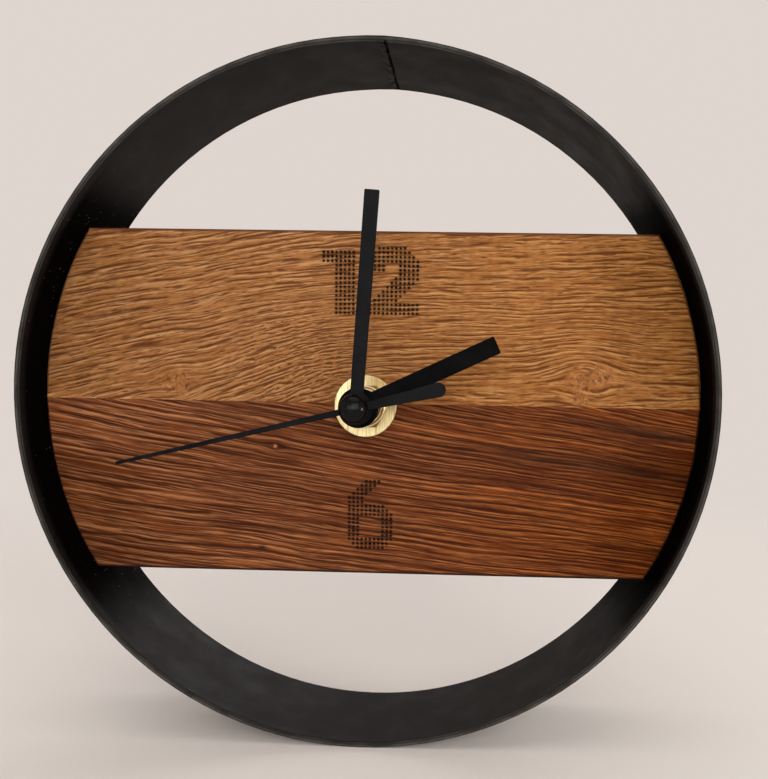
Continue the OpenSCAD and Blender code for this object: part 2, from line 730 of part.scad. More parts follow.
// A straight blade from the shaft to its tip, with small rounded corners at the tip
module blade(root_w, tip_w, len) {
    polygon([[-root_w / 2, 0], [-tip_w / 2, len - hand_corner], [-tip_w / 2 + hand_corner, len],
             [tip_w / 2 - hand_corner, len], [tip_w / 2, len - hand_corner], [root_w / 2, 0]]);
    for (side = [-1, 1]) translate([side * (tip_w / 2 - hand_corner), len - hand_corner]) circle(hand_corner);
}

// A stamped hand with a round boss and a short pipe behind it
module hand(h, angle, root_w, tip_w, len, boss_d, bore_r) at_shaft() difference() {
    union() {
        slab(face_y - h, face_y - h - hand_t) clockwise(angle) {
            blade(root_w, tip_w, len);
            circle(boss_d / 2);
        }
        disc(face_y - h + hand_pipe_h, face_y - h, bore_r + hand_pipe_wall);
    }
    disc(face_y - h + hand_pipe_h + over, face_y - h - hand_t - over, bore_r);
}

module hour_hand() color([0.04, 0.04, 0.05])
    hand(hour_h, hour_angle, hour_w, hour_w, hour_len, hour_boss_d, hour_tube_r + press_gap);

module minute_hand() color([0.04, 0.04, 0.05])
    hand(minute_h, minute_angle, minute_root_w, minute_w, minute_len, minute_boss_d,
         minute_tube_r + press_gap);

module second_hand() color([0.05, 0.05, 0.06]) at_shaft() difference() {
    union() {
        slab(face_y - second_h, face_y - second_h - hand_t) clockwise(second_angle) {
            polygon([[-second_w / 2, 0], [-second_tip_w / 2, second_len], [second_tip_w / 2, second_len],
                     [second_w / 2, 0], [tail_w / 2, -tail_end], [-tail_w / 2, -tail_end]]);
            translate([0, -tail_end]) circle(tail_w / 2);
            circle(second_pipe_r * 2);
        }
        disc(face_y - second_h + second_pipe_h, face_y - second_h, second_pipe_r);
    }
    disc(face_y - second_h + second_pipe_h + over, face_y - second_h - hand_t - over, arbor_r + press_gap);
}

module second_hand_dome() color([0.02, 0.02, 0.02]) at_shaft() intersection() {
    dome_base_y = face_y - second_h - hand_t;
    dome_sphere_r = (dome_d * dome_d / 4 + dome_h * dome_h) / (2 * dome_h);
    translate([0, dome_base_y - dome_h + dome_sphere_r, 0]) sphere(dome_sphere_r);
    disc(dome_base_y, dome_base_y - dome_h - over, dome_sphere_r);
}

steel_ring();
upper_board();
lower_board();
ring_screws();
hanger_plate();
hanger_screws();
rubber_washer();
brass_washer();
hex_nut();
threaded_bush();
case_front();
middle_plate();
case_rear();
battery();
contact_positive();
contact_negative();
circuit_board();
chip();
quartz_crystal();
coil_bobbin();
coil_winding();
stator();
rotor_magnet();
rotor_pinion();
fifth_wheel();
third_wheel();
second_arbor();
second_wheel();
centre_wheel();
cannon_pinion();
minute_wheel();
setting_knob();
hour_wheel();
hour_hand();
minute_hand();
second_hand();
second_hand_dome();
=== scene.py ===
"""A round wall clock: two oak boards in a black steel ring, with a battery movement in their back.

Places are in metres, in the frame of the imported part: the clock faces -Y, +X is to the right and +Z is up.
Materials work in millimetres from the ring's centre, through the Paint class.
"""
import json
import math

import bmesh
import bpy
import numpy as np
from mathutils import Euler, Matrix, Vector
from mathutils.geometry import delaunay_2d_cdt


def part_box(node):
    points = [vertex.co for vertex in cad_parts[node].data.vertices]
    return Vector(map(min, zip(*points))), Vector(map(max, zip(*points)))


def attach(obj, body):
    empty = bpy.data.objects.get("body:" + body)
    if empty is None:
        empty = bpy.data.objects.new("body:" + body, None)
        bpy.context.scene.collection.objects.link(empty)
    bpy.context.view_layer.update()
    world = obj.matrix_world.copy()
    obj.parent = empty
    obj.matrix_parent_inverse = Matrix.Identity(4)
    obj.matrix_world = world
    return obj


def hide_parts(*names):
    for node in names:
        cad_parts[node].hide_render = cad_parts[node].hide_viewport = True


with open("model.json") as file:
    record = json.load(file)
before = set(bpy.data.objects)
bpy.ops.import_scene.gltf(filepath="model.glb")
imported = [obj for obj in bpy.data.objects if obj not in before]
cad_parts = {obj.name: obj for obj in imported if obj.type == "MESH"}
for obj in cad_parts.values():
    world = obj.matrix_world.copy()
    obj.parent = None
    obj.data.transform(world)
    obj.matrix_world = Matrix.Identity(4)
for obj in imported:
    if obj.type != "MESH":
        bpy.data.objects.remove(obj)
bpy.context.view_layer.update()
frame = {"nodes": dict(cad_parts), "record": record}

MM = 0.001
rng = np.random.default_rng(7)


# Places, from the frame

def middle(node):
    low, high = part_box(node)
    return (low + high) / 2


RING = middle("steel_ring")
RING_R = (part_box("steel_ring")[1].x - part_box("steel_ring")[0].x) / 2
RING_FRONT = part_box("steel_ring")[0].y
RING_INNER_R = RING_R - 1.5 * MM
SHAFT = middle("brass_washer")
FACE_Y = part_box("upper_board")[0].y

# Places in millimetres from the ring's centre. The painted light and shade near the boards' front edges fade
# out behind
# EDGE_DEPTH, and the groove beside the weld lies GROOVE_ARC right of the top, along the ring
BOARDS_TOP, BOARDS_BOTTOM = 42.75, -44.05
EDGE_DEPTH = -19.3
GROOVE_ARC = 4.4
# Each knot's middle, half width and half height: three lobes on the right and one knot on the left
KNOTS = ((52.7, 6.0, 3.0, 2.7), (57.6, 7.6, 3.3, 3.0), (53.6, 1.4, 2.6, 1.5), (-48.9, 4.0, 3.8, 3.0))
PIN_KNOT = (-24.0, -11.6)
DARK_KNOT = (-27.4, -37.8)


# Node materials

class Paint:
    """A node material made with short calls. Points are in millimetres from the ring's centre."""

    def __init__(self, name, colour=(0.5, 0.5, 0.5), roughness=0.5, metallic=0.0, **sockets):
        self.material = bpy.data.materials.new(name)
        self.material.use_nodes = True
        self.tree = self.material.node_tree
        self.shader = self.tree.nodes["Principled BSDF"]
        self.set("Base Color", colour)
        self.set("Roughness", roughness)
        self.set("Metallic", metallic)
        for socket, value in sockets.items():
            self.set(socket.replace("_", " ").title().replace("Ior", "IOR"), value)

    def node(self, kind, *values, **fields):
        """Adds a node. values are numbers, colours or links for its first sockets."""
        made = self.tree.nodes.new(kind)
        for field, value in fields.items():
            setattr(made, field, value)
        for socket, value in zip(made.inputs, values):
            self.put(socket, value)
        return made

    def put(self, socket, value):
        if isinstance(value, bpy.types.NodeSocket):
            self.tree.links.new(value, socket)
        elif isinstance(value, (tuple, list)) and socket.type == "RGBA" and len(value) == 3:
            socket.default_value = (*value, 1.0)
        else:
            socket.default_value = value

    def set(self, name, value):
        self.put(self.shader.inputs[name], value)

    def math(self, operation, *values):
        return self.node("ShaderNodeMath", *values, operation=operation).outputs[0]

    def joined(self, operation, first, *others):
        for other in others:
            first = self.math(operation, first, other)
        return first

    def add(self, *values):
        return self.joined("ADD", *values)

    def mul(self, *values):
        return self.joined("MULTIPLY", *values)

    def most(self, *values):
        return self.joined("MAXIMUM", *values)

    def sub(self, a, b):
        return self.math("SUBTRACT", a, b)

    def vector(self, x, y, z):
        return self.node("ShaderNodeCombineXYZ", x, y, z).outputs[0]

    def place(self):
        """x to the right, y into the wall and z up, in millimetres from the ring's centre on the wall."""
        coords = self.node("ShaderNodeTexCoord").outputs["Object"]
        move = self.node("ShaderNodeVectorMath", coords, (RING.x, 0, RING.z), operation="SUBTRACT")
        scale = self.node("ShaderNodeVectorMath", move.outputs[0], operation="SCALE")
        scale.inputs["Scale"].default_value = 1 / MM
        return tuple(self.node("ShaderNodeSeparateXYZ", scale.outputs[0]).outputs)

    def noise(self, point, scale=1.0, detail=2.0, roughness=0.5):
        made = self.node("ShaderNodeTexNoise", point)
        for name, value in (("Scale", scale), ("Detail", detail), ("Roughness", roughness)):
            made.inputs[name].default_value = value
        return made.outputs["Fac"]

    def stretched(self, place, sizes, **settings):
        """Noise in patches that measure sizes millimetres along each part of place."""
        return self.noise(self.vector(*(self.mul(v, 1 / size) for v, size in zip(place, sizes))), **settings)

    def waver(self, place, sizes, amount):
        """A slow change, by up to half of amount each way, in patches of the given sizes."""
        return self.mul(self.sub(self.stretched(place, sizes, detail=1.0), 0.5), amount)

    def cells(self, point, scale):
        """The distance to the nearest of many scattered points."""
        made = self.node("ShaderNodeTexVoronoi", point)
        made.inputs["Scale"].default_value = scale
        return made.outputs["Distance"]

    def span(self, value, low, high, out_low=0.0, out_high=1.0, smooth=True):
        """Maps low..high to out_low..out_high, held at both ends."""
        kind = "SMOOTHSTEP" if smooth else "LINEAR"
        return self.node("ShaderNodeMapRange", value, low, high, out_low, out_high,
                         interpolation_type=kind).outputs[0]

    def ramp(self, value, *stops):
        """stops are (place, colour) pairs."""
        made = self.node("ShaderNodeValToRGB", value)
        elements = made.color_ramp.elements
        while len(elements) < len(stops):
            elements.new(1.0)
        for element, (place, colour) in zip(elements, stops):
            element.position = place
            element.color = (*colour, 1.0)
        return made.outputs[0]

    def mix(self, share, a, b, blend="MIX"):
        made = self.node("ShaderNodeMix", data_type="RGBA", blend_type=blend)
        self.put(made.inputs[0], share)
        self.put(made.inputs[6], a)
        self.put(made.inputs[7], b)
        return made.outputs[2]

    def layered(self, colour, *layers):
        """Lays (mask, share, colour) layers over a colour, the last on top."""
        for mask, share, layer in layers:
            colour = self.mix(self.mul(mask, share), colour, layer)
        return colour

    def bump(self, height, depth_mm):
        """height runs from 0 to 1 over depth_mm millimetres."""
        made = self.node("ShaderNodeBump")
        made.inputs["Strength"].default_value = 1.0
        made.inputs["Distance"].default_value = depth_mm * MM
        self.put(made.inputs["Height"], height)
        self.set("Normal", made.outputs[0])

    def away(self, x, z, at_x=0.0, at_z=0.0):
        """The distance from (at_x, at_z), whatever the depth."""
        dx, dz = self.sub(x, at_x), self.sub(z, at_z)
        return self.math("SQRT", self.add(self.mul(dx, dx), self.mul(dz, dz)))

    def bell(self, value, at=0.0, wide=1.0):
        """1 where value is at, falling off like a bell over wide."""
        part = self.mul(self.sub(value, at), 1 / wide)
        return self.math("EXPONENT", self.mul(part, part, -1.0))

    def blot(self, x, z, at_x, at_z, wide, tall):
        """1 at (at_x, at_z), falling off like a bell over wide and tall."""
        return self.mul(self.bell(x, at_x, wide), self.bell(z, at_z, tall))


# Wood. Its grain is drawn in (along, depth, across), and a shift of across picks other marks

def streaks(paint, wood, shift, length, width, low, high, detail=2.5):
    """Marks along the grain, length by width millimetres, that show where a noise passes low to high."""
    along, depth, across = wood
    sizes = (length, width / 0.8, width)
    marks = paint.stretched((along, depth, paint.add(across, shift)), sizes, detail=detail, roughness=0.55)
    return paint.span(marks, low, high)


def grain(paint, wood, shift, spacing, length, low, high, thin=3.0, detail=2.0):
    """Thin dashes on lines spacing millimetres apart, and the lip that lies below each, for a painted
    highlight on its upward slope.
    """
    along, depth, across = wood
    across = paint.add(across, shift)
    wood = along, depth, across
    wander = paint.stretched(wood, (length / 0.35, 10.0, spacing / 0.3), detail=1.0)
    level = paint.mul(paint.add(across, paint.mul(depth, 0.9)), 1 / spacing)
    turns = paint.add(level, paint.mul(wander, 2.4))
    shown = paint.stretched(wood, (length, spacing / 0.8, spacing / 0.9), detail=detail, roughness=0.6)
    shown = paint.span(shown, low, high)
    made = []
    for lag in (0.0, 0.3):
        wave = paint.math("SINE", paint.mul(paint.add(turns, lag), 2 * math.pi))
        line = paint.math("POWER", paint.span(wave, -1.0, 1.0, smooth=False), thin)
        made.append(paint.mul(line, shown))
    return made


def parting(paint, x, z, at_x, at_z, share, wide, tall):
    """How far grain lines move to pass above and below a knot."""
    return paint.mul(paint.sub(z, at_z), share, paint.blot(x, z, at_x, at_z, wide, tall))


def knot(paint, x, z, at_x, at_z, wide, tall):
    """A small knot at (at_x, at_z): how much of it shows, and its broken rings from 0 to 1."""
    dx, dz = paint.mul(paint.sub(x, at_x), 1 / wide), paint.mul(paint.sub(z, at_z), 1 / tall)
    reach = paint.math("SQRT", paint.add(paint.mul(dx, dx), paint.mul(dz, dz), 0.0004))
    wobble = paint.noise(paint.vector(x, 0.0, z), scale=0.7)
    round_x, round_z = (paint.mul(paint.math("DIVIDE", d, reach), 1.3) for d in (dx, dz))
    outward = paint.add(paint.mul(reach, 4.6), paint.mul(wobble, 4.2))
    broken = paint.noise(paint.vector(outward, round_x, paint.add(round_z, at_x)), roughness=0.6)
    shown = paint.span(paint.add(reach, paint.mul(paint.sub(wobble, 0.5), 1.6)), 0.5, 1.3, 1.0, 0.0)
    return shown, broken


def painted_edge_light_and_shade(paint, x, y, z, colour, level_edge, dark, share):
    """Painted light: paler wood towards the ring, more on the right, against the ring's shadow; and painted
    shade: a darker line on the boards' front edges.
    """
    reach = paint.away(x, z)
    painted_light_near_ring = paint.mul(paint.span(reach, 73.0, 83.0), paint.span(y, EDGE_DEPTH, -17.0, 1.0, 0.0),
                     paint.span(x, -20.0, 60.0, 0.55, 1.0))
    colour = paint.mix(painted_light_near_ring, colour, (1.42, 1.44, 1.48), blend="MULTIPLY")
    ends = paint.mul(paint.span(reach, 82.35, 82.8), 0.7)
    edge = paint.mul(paint.most(ends, level_edge), paint.span(y, EDGE_DEPTH, -18.6, 1.0, 0.0))
    return paint.mix(paint.mul(edge, share), colour, dark)


def finished_oak(paint, colour, dark, lip_relief_and_highlight, pores, gloss):
    """Sets a board's colour with the soot of the burnt dots, its roughness and the relief of its grain."""
    soot = paint.node("ShaderNodeAttribute", attribute_name="soot").outputs["Fac"]
    paint.set("Base Color", paint.layered(colour, (soot, 0.97, (0.006, 0.004, 0.003))))
    paint.set("Roughness", paint.add(paint.span(dark, 0.0, 1.0, *gloss), paint.mul(soot, 0.3)))
    grooves = paint.add(paint.mul(dark, 0.7), paint.mul(pores, 0.8))
    paint.bump(paint.sub(paint.mul(lip_relief_and_highlight, 0.3), grooves), 0.05)
    return paint.material


def light_oak():
    paint = Paint("light_oak", roughness=0.5, specular_ior_level=0.09)
    x, y, z = place = paint.place()
    # Height of a grain line: it climbs on the left, is nearly level on the right and parts round the knots
    slope = paint.sub(0.225, paint.mul(z, 0.0020))
    level = paint.mul(x, paint.add(0.004, paint.mul(z, 0.0007)))
    climb = paint.math("SMOOTH_MIN", paint.mul(slope, paint.add(x, 4.0)), level, 5.0)
    steep = paint.mul(paint.span(x, -44.0, -6.0), 3.2, paint.bell(z, 8.0, 15.0))
    arch = paint.mul(paint.blot(x, z, 52.0, 13.5, 12.0, 9.0), 2.6)
    part_right = parting(paint, x, z, 54.9, 6.7, 0.62, 6.5, 5.0)
    part_left = parting(paint, x, z, -48.9, 4.0, 0.6, 5.6, 4.4)
    sway, ripple = paint.waver(place, (36, 40, 22), 2.0), paint.waver(place, (8, 20, 7), 0.45)
    lift = paint.add(climb, steep, arch, part_right, part_left, sway, ripple)
    frayed = paint.waver(place, (7.0, 20, 1.6), paint.span(x, -14.0, 8.0, 0.2, 0.5))
    wood = x, y, paint.add(paint.sub(z, lift), frayed)
    # Dark dashes with a lip below each, painted lighter as a highlight on its upward slope, on three scales,
    # and short scales left of the shaft
    wide_dark, wide_lip_highlight = grain(paint, wood, 0.0, 1.75, 10.0, 0.41, 0.59)
    mid_dark, mid_lip_highlight = grain(paint, wood, 31.0, 1.05, 5.5, 0.43, 0.59, thin=2.5)
    fine_dark = grain(paint, wood, 71.0, 0.6, 4.0, 0.42, 0.58, thin=2.0)[0]
    scaly = paint.span(paint.blot(x, z, -19.0, 10.0, 19.0, 15.0), 0.15, 0.75)
    flecks, scale_highlights = (paint.mul(made, scaly) for made in
                      grain(paint, wood, 57.0, 1.05, 1.9, 0.40, 0.50, thin=1.5, detail=1.0))
    light = streaks(paint, wood, 11.0, 14.0, 0.8, 0.46, 0.68)
    pores = streaks(paint, wood, 83.0, 2.2, 0.12, 0.60, 0.74, detail=0.0)
    tone = streaks(paint, wood, 0.0, 40.0, 9.0, 0.35, 0.68)
    lip_relief_and_highlight = paint.most(wide_lip_highlight, mid_lip_highlight, scale_highlights)
    dark = paint.most(wide_dark, paint.mul(mid_dark, 0.95), flecks)
    colour = paint.layered(
        (0.325, 0.132, 0.035),
        (tone, 0.35, (0.240, 0.084, 0.020)),
        (light, 0.4, (0.50, 0.250, 0.095)),
        (lip_relief_and_highlight, 0.62, (0.60, 0.320, 0.132)),
        (fine_dark, 0.75, (0.135, 0.038, 0.0070)),
        (dark, 0.92, (0.086, 0.021, 0.0028)),
        (pores, 0.5, (0.075, 0.022, 0.006)))
    warm = paint.ramp(paint.span(x, -60.0, 60.0), (0.0, (0.94, 0.97, 1.08)), (1.0, (0.90, 0.87, 0.74)))
    colour = paint.mix(1.0, colour, warm, blend="MULTIPLY")
    for spot in KNOTS:
        shown, broken = knot(paint, x, z, *spot)
        curl = paint.ramp(broken, (0.36, (0.070, 0.020, 0.005)), (0.46, (0.20, 0.068, 0.018)),
                          (0.53, (0.36, 0.155, 0.048)), (0.60, (0.18, 0.060, 0.016)),
                          (0.68, (0.52, 0.260, 0.100)))
        colour = paint.layered(colour, (shown, 0.72, curl))
    # A painted shade line along the top edge, and painted light towards the ring
    upper = paint.span(z, BOARDS_TOP - 0.9, BOARDS_TOP - 0.5)
    colour = painted_edge_light_and_shade(paint, x, y, z, colour, upper, (0.090, 0.028, 0.009), 0.75)
    return finished_oak(paint, colour, dark, lip_relief_and_highlight, pores, (0.52, 0.68))


def dark_oak():
    paint = Paint("dark_oak", roughness=0.45, specular_ior_level=0.08)
    x, y, z = place = paint.place()
    # Grain lines fall to the right, more steeply the nearer they are to the seam
    slope = paint.add(paint.mul(paint.add(z, 44.0), 0.0016), 0.095)
    pin = parting(paint, x, z, *PIN_KNOT, 0.7, 2.6, 1.6)
    sway, ripple = paint.waver(place, (42, 40, 18), 2.2), paint.waver(place, (12, 20, 6), 0.5)
    lift = paint.add(paint.sub(pin, paint.mul(slope, x)), sway, ripple)
    frayed = paint.waver(place, (13.0, 20, 1.6), 0.6)
    across = paint.add(paint.sub(z, lift), frayed)
    wood = x, y, across
    wide_dark, wide_lip_highlight = grain(paint, wood, 0.0, 1.6, 22.0, 0.37, 0.57, thin=2.2)
    mid_dark, mid_lip_highlight = grain(paint, wood, 31.0, 0.95, 14.0, 0.39, 0.58, thin=2.2)
    fine_dark = grain(paint, wood, 71.0, 0.5, 12.0, 0.40, 0.58, thin=2.0)[0]
    light = streaks(paint, wood, 11.0, 26.0, 0.7, 0.46, 0.68)
    bands = streaks(paint, wood, 71.0, 60.0, 2.4, 0.50, 0.64)
    pores = streaks(paint, wood, 83.0, 2.6, 0.11, 0.60, 0.74, detail=0.0)
    tone = streaks(paint, wood, 0.0, 60.0, 7.0, 0.38, 0.62)
    # The lips below the dark lines carry a painted highlight on their upward slopes
    lip_relief_and_highlight = paint.most(wide_lip_highlight, mid_lip_highlight)
    lines = paint.most(wide_dark, paint.mul(mid_dark, 0.92))
    # A dark flame that widens from the shaft to the right end, and one under the seam at the end
    flame = paint.mul(paint.bell(across, -6.8, 2.4), paint.span(x, 8.0, 42.0))
    tip = paint.mul(paint.bell(across, 4.7, 1.3), paint.span(x, 40.0, 66.0))
    colour = paint.layered(
        (0.176, 0.046, 0.0090),
        (tone, 0.85, (0.096, 0.0210, 0.0040)),
        (light, 0.45, (0.36, 0.145, 0.048)),
        (lip_relief_and_highlight, paint.span(tone, 0.0, 1.0, 0.84, 0.58), (0.44, 0.182, 0.064)),
        (bands, 0.45, (0.058, 0.014, 0.0045)),
        (fine_dark, 0.78, (0.046, 0.0090, 0.0018)),
        (lines, 0.95, (0.032, 0.0060, 0.0010)),
        (paint.most(flame, tip), 0.72, (0.026, 0.0078, 0.0036)),
        (pores, 0.45, (0.024, 0.007, 0.0035)))
    warm = paint.ramp(paint.span(x, -60.0, 70.0), (0.0, (1.0, 1.02, 1.20)), (1.0, (0.87, 0.68, 0.40)))
    colour = paint.mix(1.0, colour, warm, blend="MULTIPLY")
    # A ringed pin knot left of the shaft, and a small dark one near the lower edge
    reach = paint.away(x, z, *PIN_KNOT)
    colour = paint.layered(
        colour,
        (paint.span(reach, 0.45, 0.66, 1.0, 0.0), 0.85, (0.36, 0.135, 0.042)),
        (paint.bell(reach, 0.66, 1 / 4.5), 0.85, (0.060, 0.016, 0.006)),
        (paint.blot(x, z, *DARK_KNOT, 1.0, 0.55), 0.95, (0.020, 0.007, 0.004)))
    # A painted shade line along the bottom edge, and painted light towards the ring
    lower = paint.span(z, BOARDS_BOTTOM + 0.5, BOARDS_BOTTOM + 0.9, 1.0, 0.0)
    colour = painted_edge_light_and_shade(paint, x, y, z, colour, lower, (0.020, 0.0065, 0.0035), 0.92)
    return finished_oak(paint, colour, lines, lip_relief_and_highlight, pores, (0.50, 0.66))


# Metals, plastics and the rest

def black_steel():
    paint = Paint("black_steel", roughness=0.5, specular_ior_level=0.06)
    x, y, z = paint.place()
    point = paint.vector(x, y, z)
    patina = paint.noise(point, scale=0.10, detail=5.0, roughness=0.65)
    scale = paint.noise(point, scale=1.6, detail=3.0, roughness=0.6)
    colour = paint.ramp(patina, (0.3, (0.0070, 0.0057, 0.0050)), (0.55, (0.0100, 0.0081, 0.0071)),
                        (0.75, (0.0150, 0.0124, 0.0112)))
    # The rolled edges of the strip are worn lighter, with a dark line between them
    reach = paint.away(x, z)
    spread = paint.add(reach, paint.mul(paint.sub(paint.noise(point, scale=0.09, detail=3.0), 0.5), 0.35))
    outer, inner = paint.bell(spread, 84.55, 0.30), paint.bell(spread, 83.85, 0.14)
    worn = paint.mul(paint.most(outer, paint.mul(inner, 0.7)), paint.span(y, -31.95, -31.7, 1.0, 0.0))
    rub = paint.span(paint.noise(point, scale=0.2, detail=4.0), 0.3, 0.65)
    # Painted shade in the groove beside the weld at the top, whose line wanders along the strip's depth
    arc = paint.mul(paint.math("ARCTAN2", x, z), RING_INNER_R / MM)
    wander = paint.noise(paint.vector(0.0, paint.mul(y, 0.23), 0.0))
    wander = paint.mul(paint.sub(wander, 0.5), 0.4)
    breadth = paint.span(paint.noise(paint.vector(5.0, paint.mul(y, 0.3), 0.0)), 0.3, 0.7, 2.5, 4.6)
    painted_groove_shade = paint.bell(paint.mul(paint.sub(paint.sub(arc, GROOVE_ARC), wander), breadth))
    inside = paint.span(reach, 84.2, 84.0)
    cut = paint.mul(painted_groove_shade, inside)
    # Painted shade: the inner wall beside the board ends is darker, less so along the bottom and not at the
    # top
    shade_beside_boards = paint.mul(paint.span(z, 45.0, 60.0, 1.0, 0.0), paint.span(z, -64.0, -46.0, 0.22, 1.0))
    painted_shade = paint.mul(shade_beside_boards, inside, paint.span(y, -31.6, -28.4, 0.30, 1.0))
    # Dust specks, thickest on the left
    speck = paint.span(paint.cells(point, 0.62), 0.0, 0.15, 1.0, 0.0)
    sparse = paint.span(paint.noise(point, scale=0.3, detail=1.0), 0.52, 0.62)
    colour = paint.layered(
        colour,
        (paint.span(scale, 0.35, 0.75), 0.3, (0.017, 0.0146, 0.0138)),
        (worn, paint.add(0.3, paint.mul(rub, 0.5)), (0.075, 0.071, 0.066)),
        (painted_shade, 0.93, (0.0008, 0.0005, 0.0004)),
        (cut, 1.0, (0.0010, 0.0008, 0.0008)),
        (paint.mul(speck, sparse), paint.span(x, -40.0, -75.0, 0.12, 0.85), (0.17, 0.165, 0.155)))
    matt = paint.most(cut, paint.mul(painted_shade, 0.6))
    paint.set("Base Color", colour)
    paint.set("Specular IOR Level", paint.span(matt, 0.0, 0.6, 0.055, 0.004))
    paint.set("Roughness", paint.span(patina, 0.25, 0.75, 0.48, 0.66))
    paint.bump(paint.add(paint.mul(scale, 0.25), paint.mul(patina, 0.5)), 0.05)
    return paint.material


def times(colour, shares):
    """A plain colour with each channel multiplied by a share."""
    return tuple(channel * share for channel, share in zip(colour, shares))


def brushed(name, colour, roughness=0.3, along="z", bump=0.012, dark=0.45, painted_dark_reflection=None):
    """Bare metal, brushed along one axis, with a few deeper scratches and, if given, a painted dark
    reflection in one patch.
    """
    paint = Paint(name, colour=colour, roughness=roughness, metallic=1.0)
    x, y, z = place = paint.place()
    fine, slow = 0.14, 6.0
    sizes = {"x": (slow, fine, fine), "y": (fine, slow, fine), "z": (fine, fine, slow)}[along]
    lines = paint.stretched(place, sizes)
    wide = paint.stretched(place, [size / 0.22 for size in sizes])
    stain = paint.noise(paint.vector(x, y, z), scale=0.22, detail=4.0)
    shade = times(colour, (0.36, 0.31, 0.24))
    tint = paint.layered(
        colour,
        (paint.span(wide, 0.56, 0.68), dark, shade),
        (paint.span(lines, 0.50, 0.62), dark * 0.8, shade),
        (paint.span(stain, 0.45, 0.75), 0.3, times(colour, (0.8, 0.74, 0.62))))
    if painted_dark_reflection:
        at_x, at_z, size = painted_dark_reflection
        # Painted reflection: a darker patch where the face mirrors the dark hands in front of it
        patch = paint.blot(x, z, at_x, at_z, size, size)
        tint = paint.layered(tint, (patch, 0.8, times(colour, (0.42, 0.32, 0.18))))
    paint.set("Base Color", tint)
    paint.set("Roughness", paint.add(paint.mul(lines, 0.2), roughness - 0.1))
    paint.bump(paint.add(lines, paint.mul(wide, 0.6)), bump)
    return paint.material


def turned_brass():
    """Brass painted darker, a painted reflection of the dark parts round it, with the rings that a lathe
    leaves round the shaft.
    """
    paint = Paint("turned_brass", roughness=0.36, metallic=1.0)
    x, y, z = paint.place()
    reach = paint.away(x, z, (SHAFT.x - RING.x) / MM, (SHAFT.z - RING.z) / MM)
    rings = paint.noise(paint.vector(paint.mul(reach, 9.0), 0.0, paint.mul(y, 0.5)))
    stain = paint.noise(paint.vector(x, y, z), scale=0.6, detail=3.0)
    colour = paint.ramp(rings, (0.38, (0.17, 0.098, 0.030)), (0.54, (0.31, 0.192, 0.066)),
                        (0.66, (0.60, 0.420, 0.180)))
    # Painted highlights on the edge of the chamfer and the lip of the bore
    edge = paint.most(paint.bell(reach, 5.08, 0.10), paint.bell(reach, 4.3, 0.12))
    colour = paint.layered(
        colour,
        (paint.span(stain, 0.4, 0.7), 0.5, (0.16, 0.088, 0.030)),
        (edge, 1.0, (1.0, 0.86, 0.56)))
    paint.set("Base Color", colour)
    paint.bump(rings, 0.02)
    return paint.material


def coated(name, colour, roughness, grain_mm=0.25, bump=0.01, **sockets):
    """Paint or moulded plastic: a fine grain and slow changes of gloss."""
    paint = Paint(name, colour=colour, roughness=roughness, **sockets)
    point = paint.vector(*paint.place())
    fine = paint.noise(point, scale=1 / grain_mm, detail=3.0, roughness=0.6)
    slow = paint.noise(point, scale=0.12, detail=3.0)
    paler = tuple(min(1.0, c * 1.5 + 0.004) for c in colour)
    paint.set("Base Color", paint.layered(colour, (paint.span(slow, 0.3, 0.75), 0.7, paler)))
    paint.set("Roughness", paint.add(paint.mul(slow, 0.14), roughness - 0.07))
    paint.bump(fine, bump)
    return paint.material


def battery_wrap():
    """A plain printed wrap: black, with a copper-coloured band at the positive end."""
    paint = Paint("battery_can", roughness=0.3, specular_ior_level=0.5, coat_weight=0.4, coat_roughness=0.12)
    x, y, z = place = paint.place()
    point = paint.vector(x, y, z)
    band_x = middle("battery").x / MM + 12.0
    foil = paint.stretched(place, (2.0, 1 / 6, 1 / 6))
    copper = paint.ramp(foil, (0.35, (0.60, 0.27, 0.105)), (0.65, (0.72, 0.35, 0.145)))
    black = paint.ramp(paint.noise(point, scale=0.8, detail=3.0),
                       (0.3, (0.012, 0.012, 0.014)), (0.8, (0.028, 0.028, 0.032)))
    band = paint.span(x, band_x - 0.05, band_x + 0.05)
    paint.set("Base Color", paint.mix(band, black, copper))
    paint.set("Metallic", paint.mul(band, 0.85))
    paint.bump(paint.noise(point, scale=0.35), 0.06)
    return paint.material


def copper_wire():
    wire_mm = 0.16
    paint = Paint("copper_wire", roughness=0.3, metallic=0.8)
    x = paint.place()[0]
    # Each turn is painted light along its top and dark where it meets the next: painted light and shade on
    # round wire
    turns = paint.span(paint.math("SINE", paint.mul(x, 2 * math.pi / wire_mm)), -1.0, 1.0)
    paint.set("Base Color", paint.ramp(turns, (0.0, (0.12, 0.035, 0.012)), (1.0, (0.62, 0.25, 0.09))))
    paint.bump(turns, 0.05)
    return paint.material


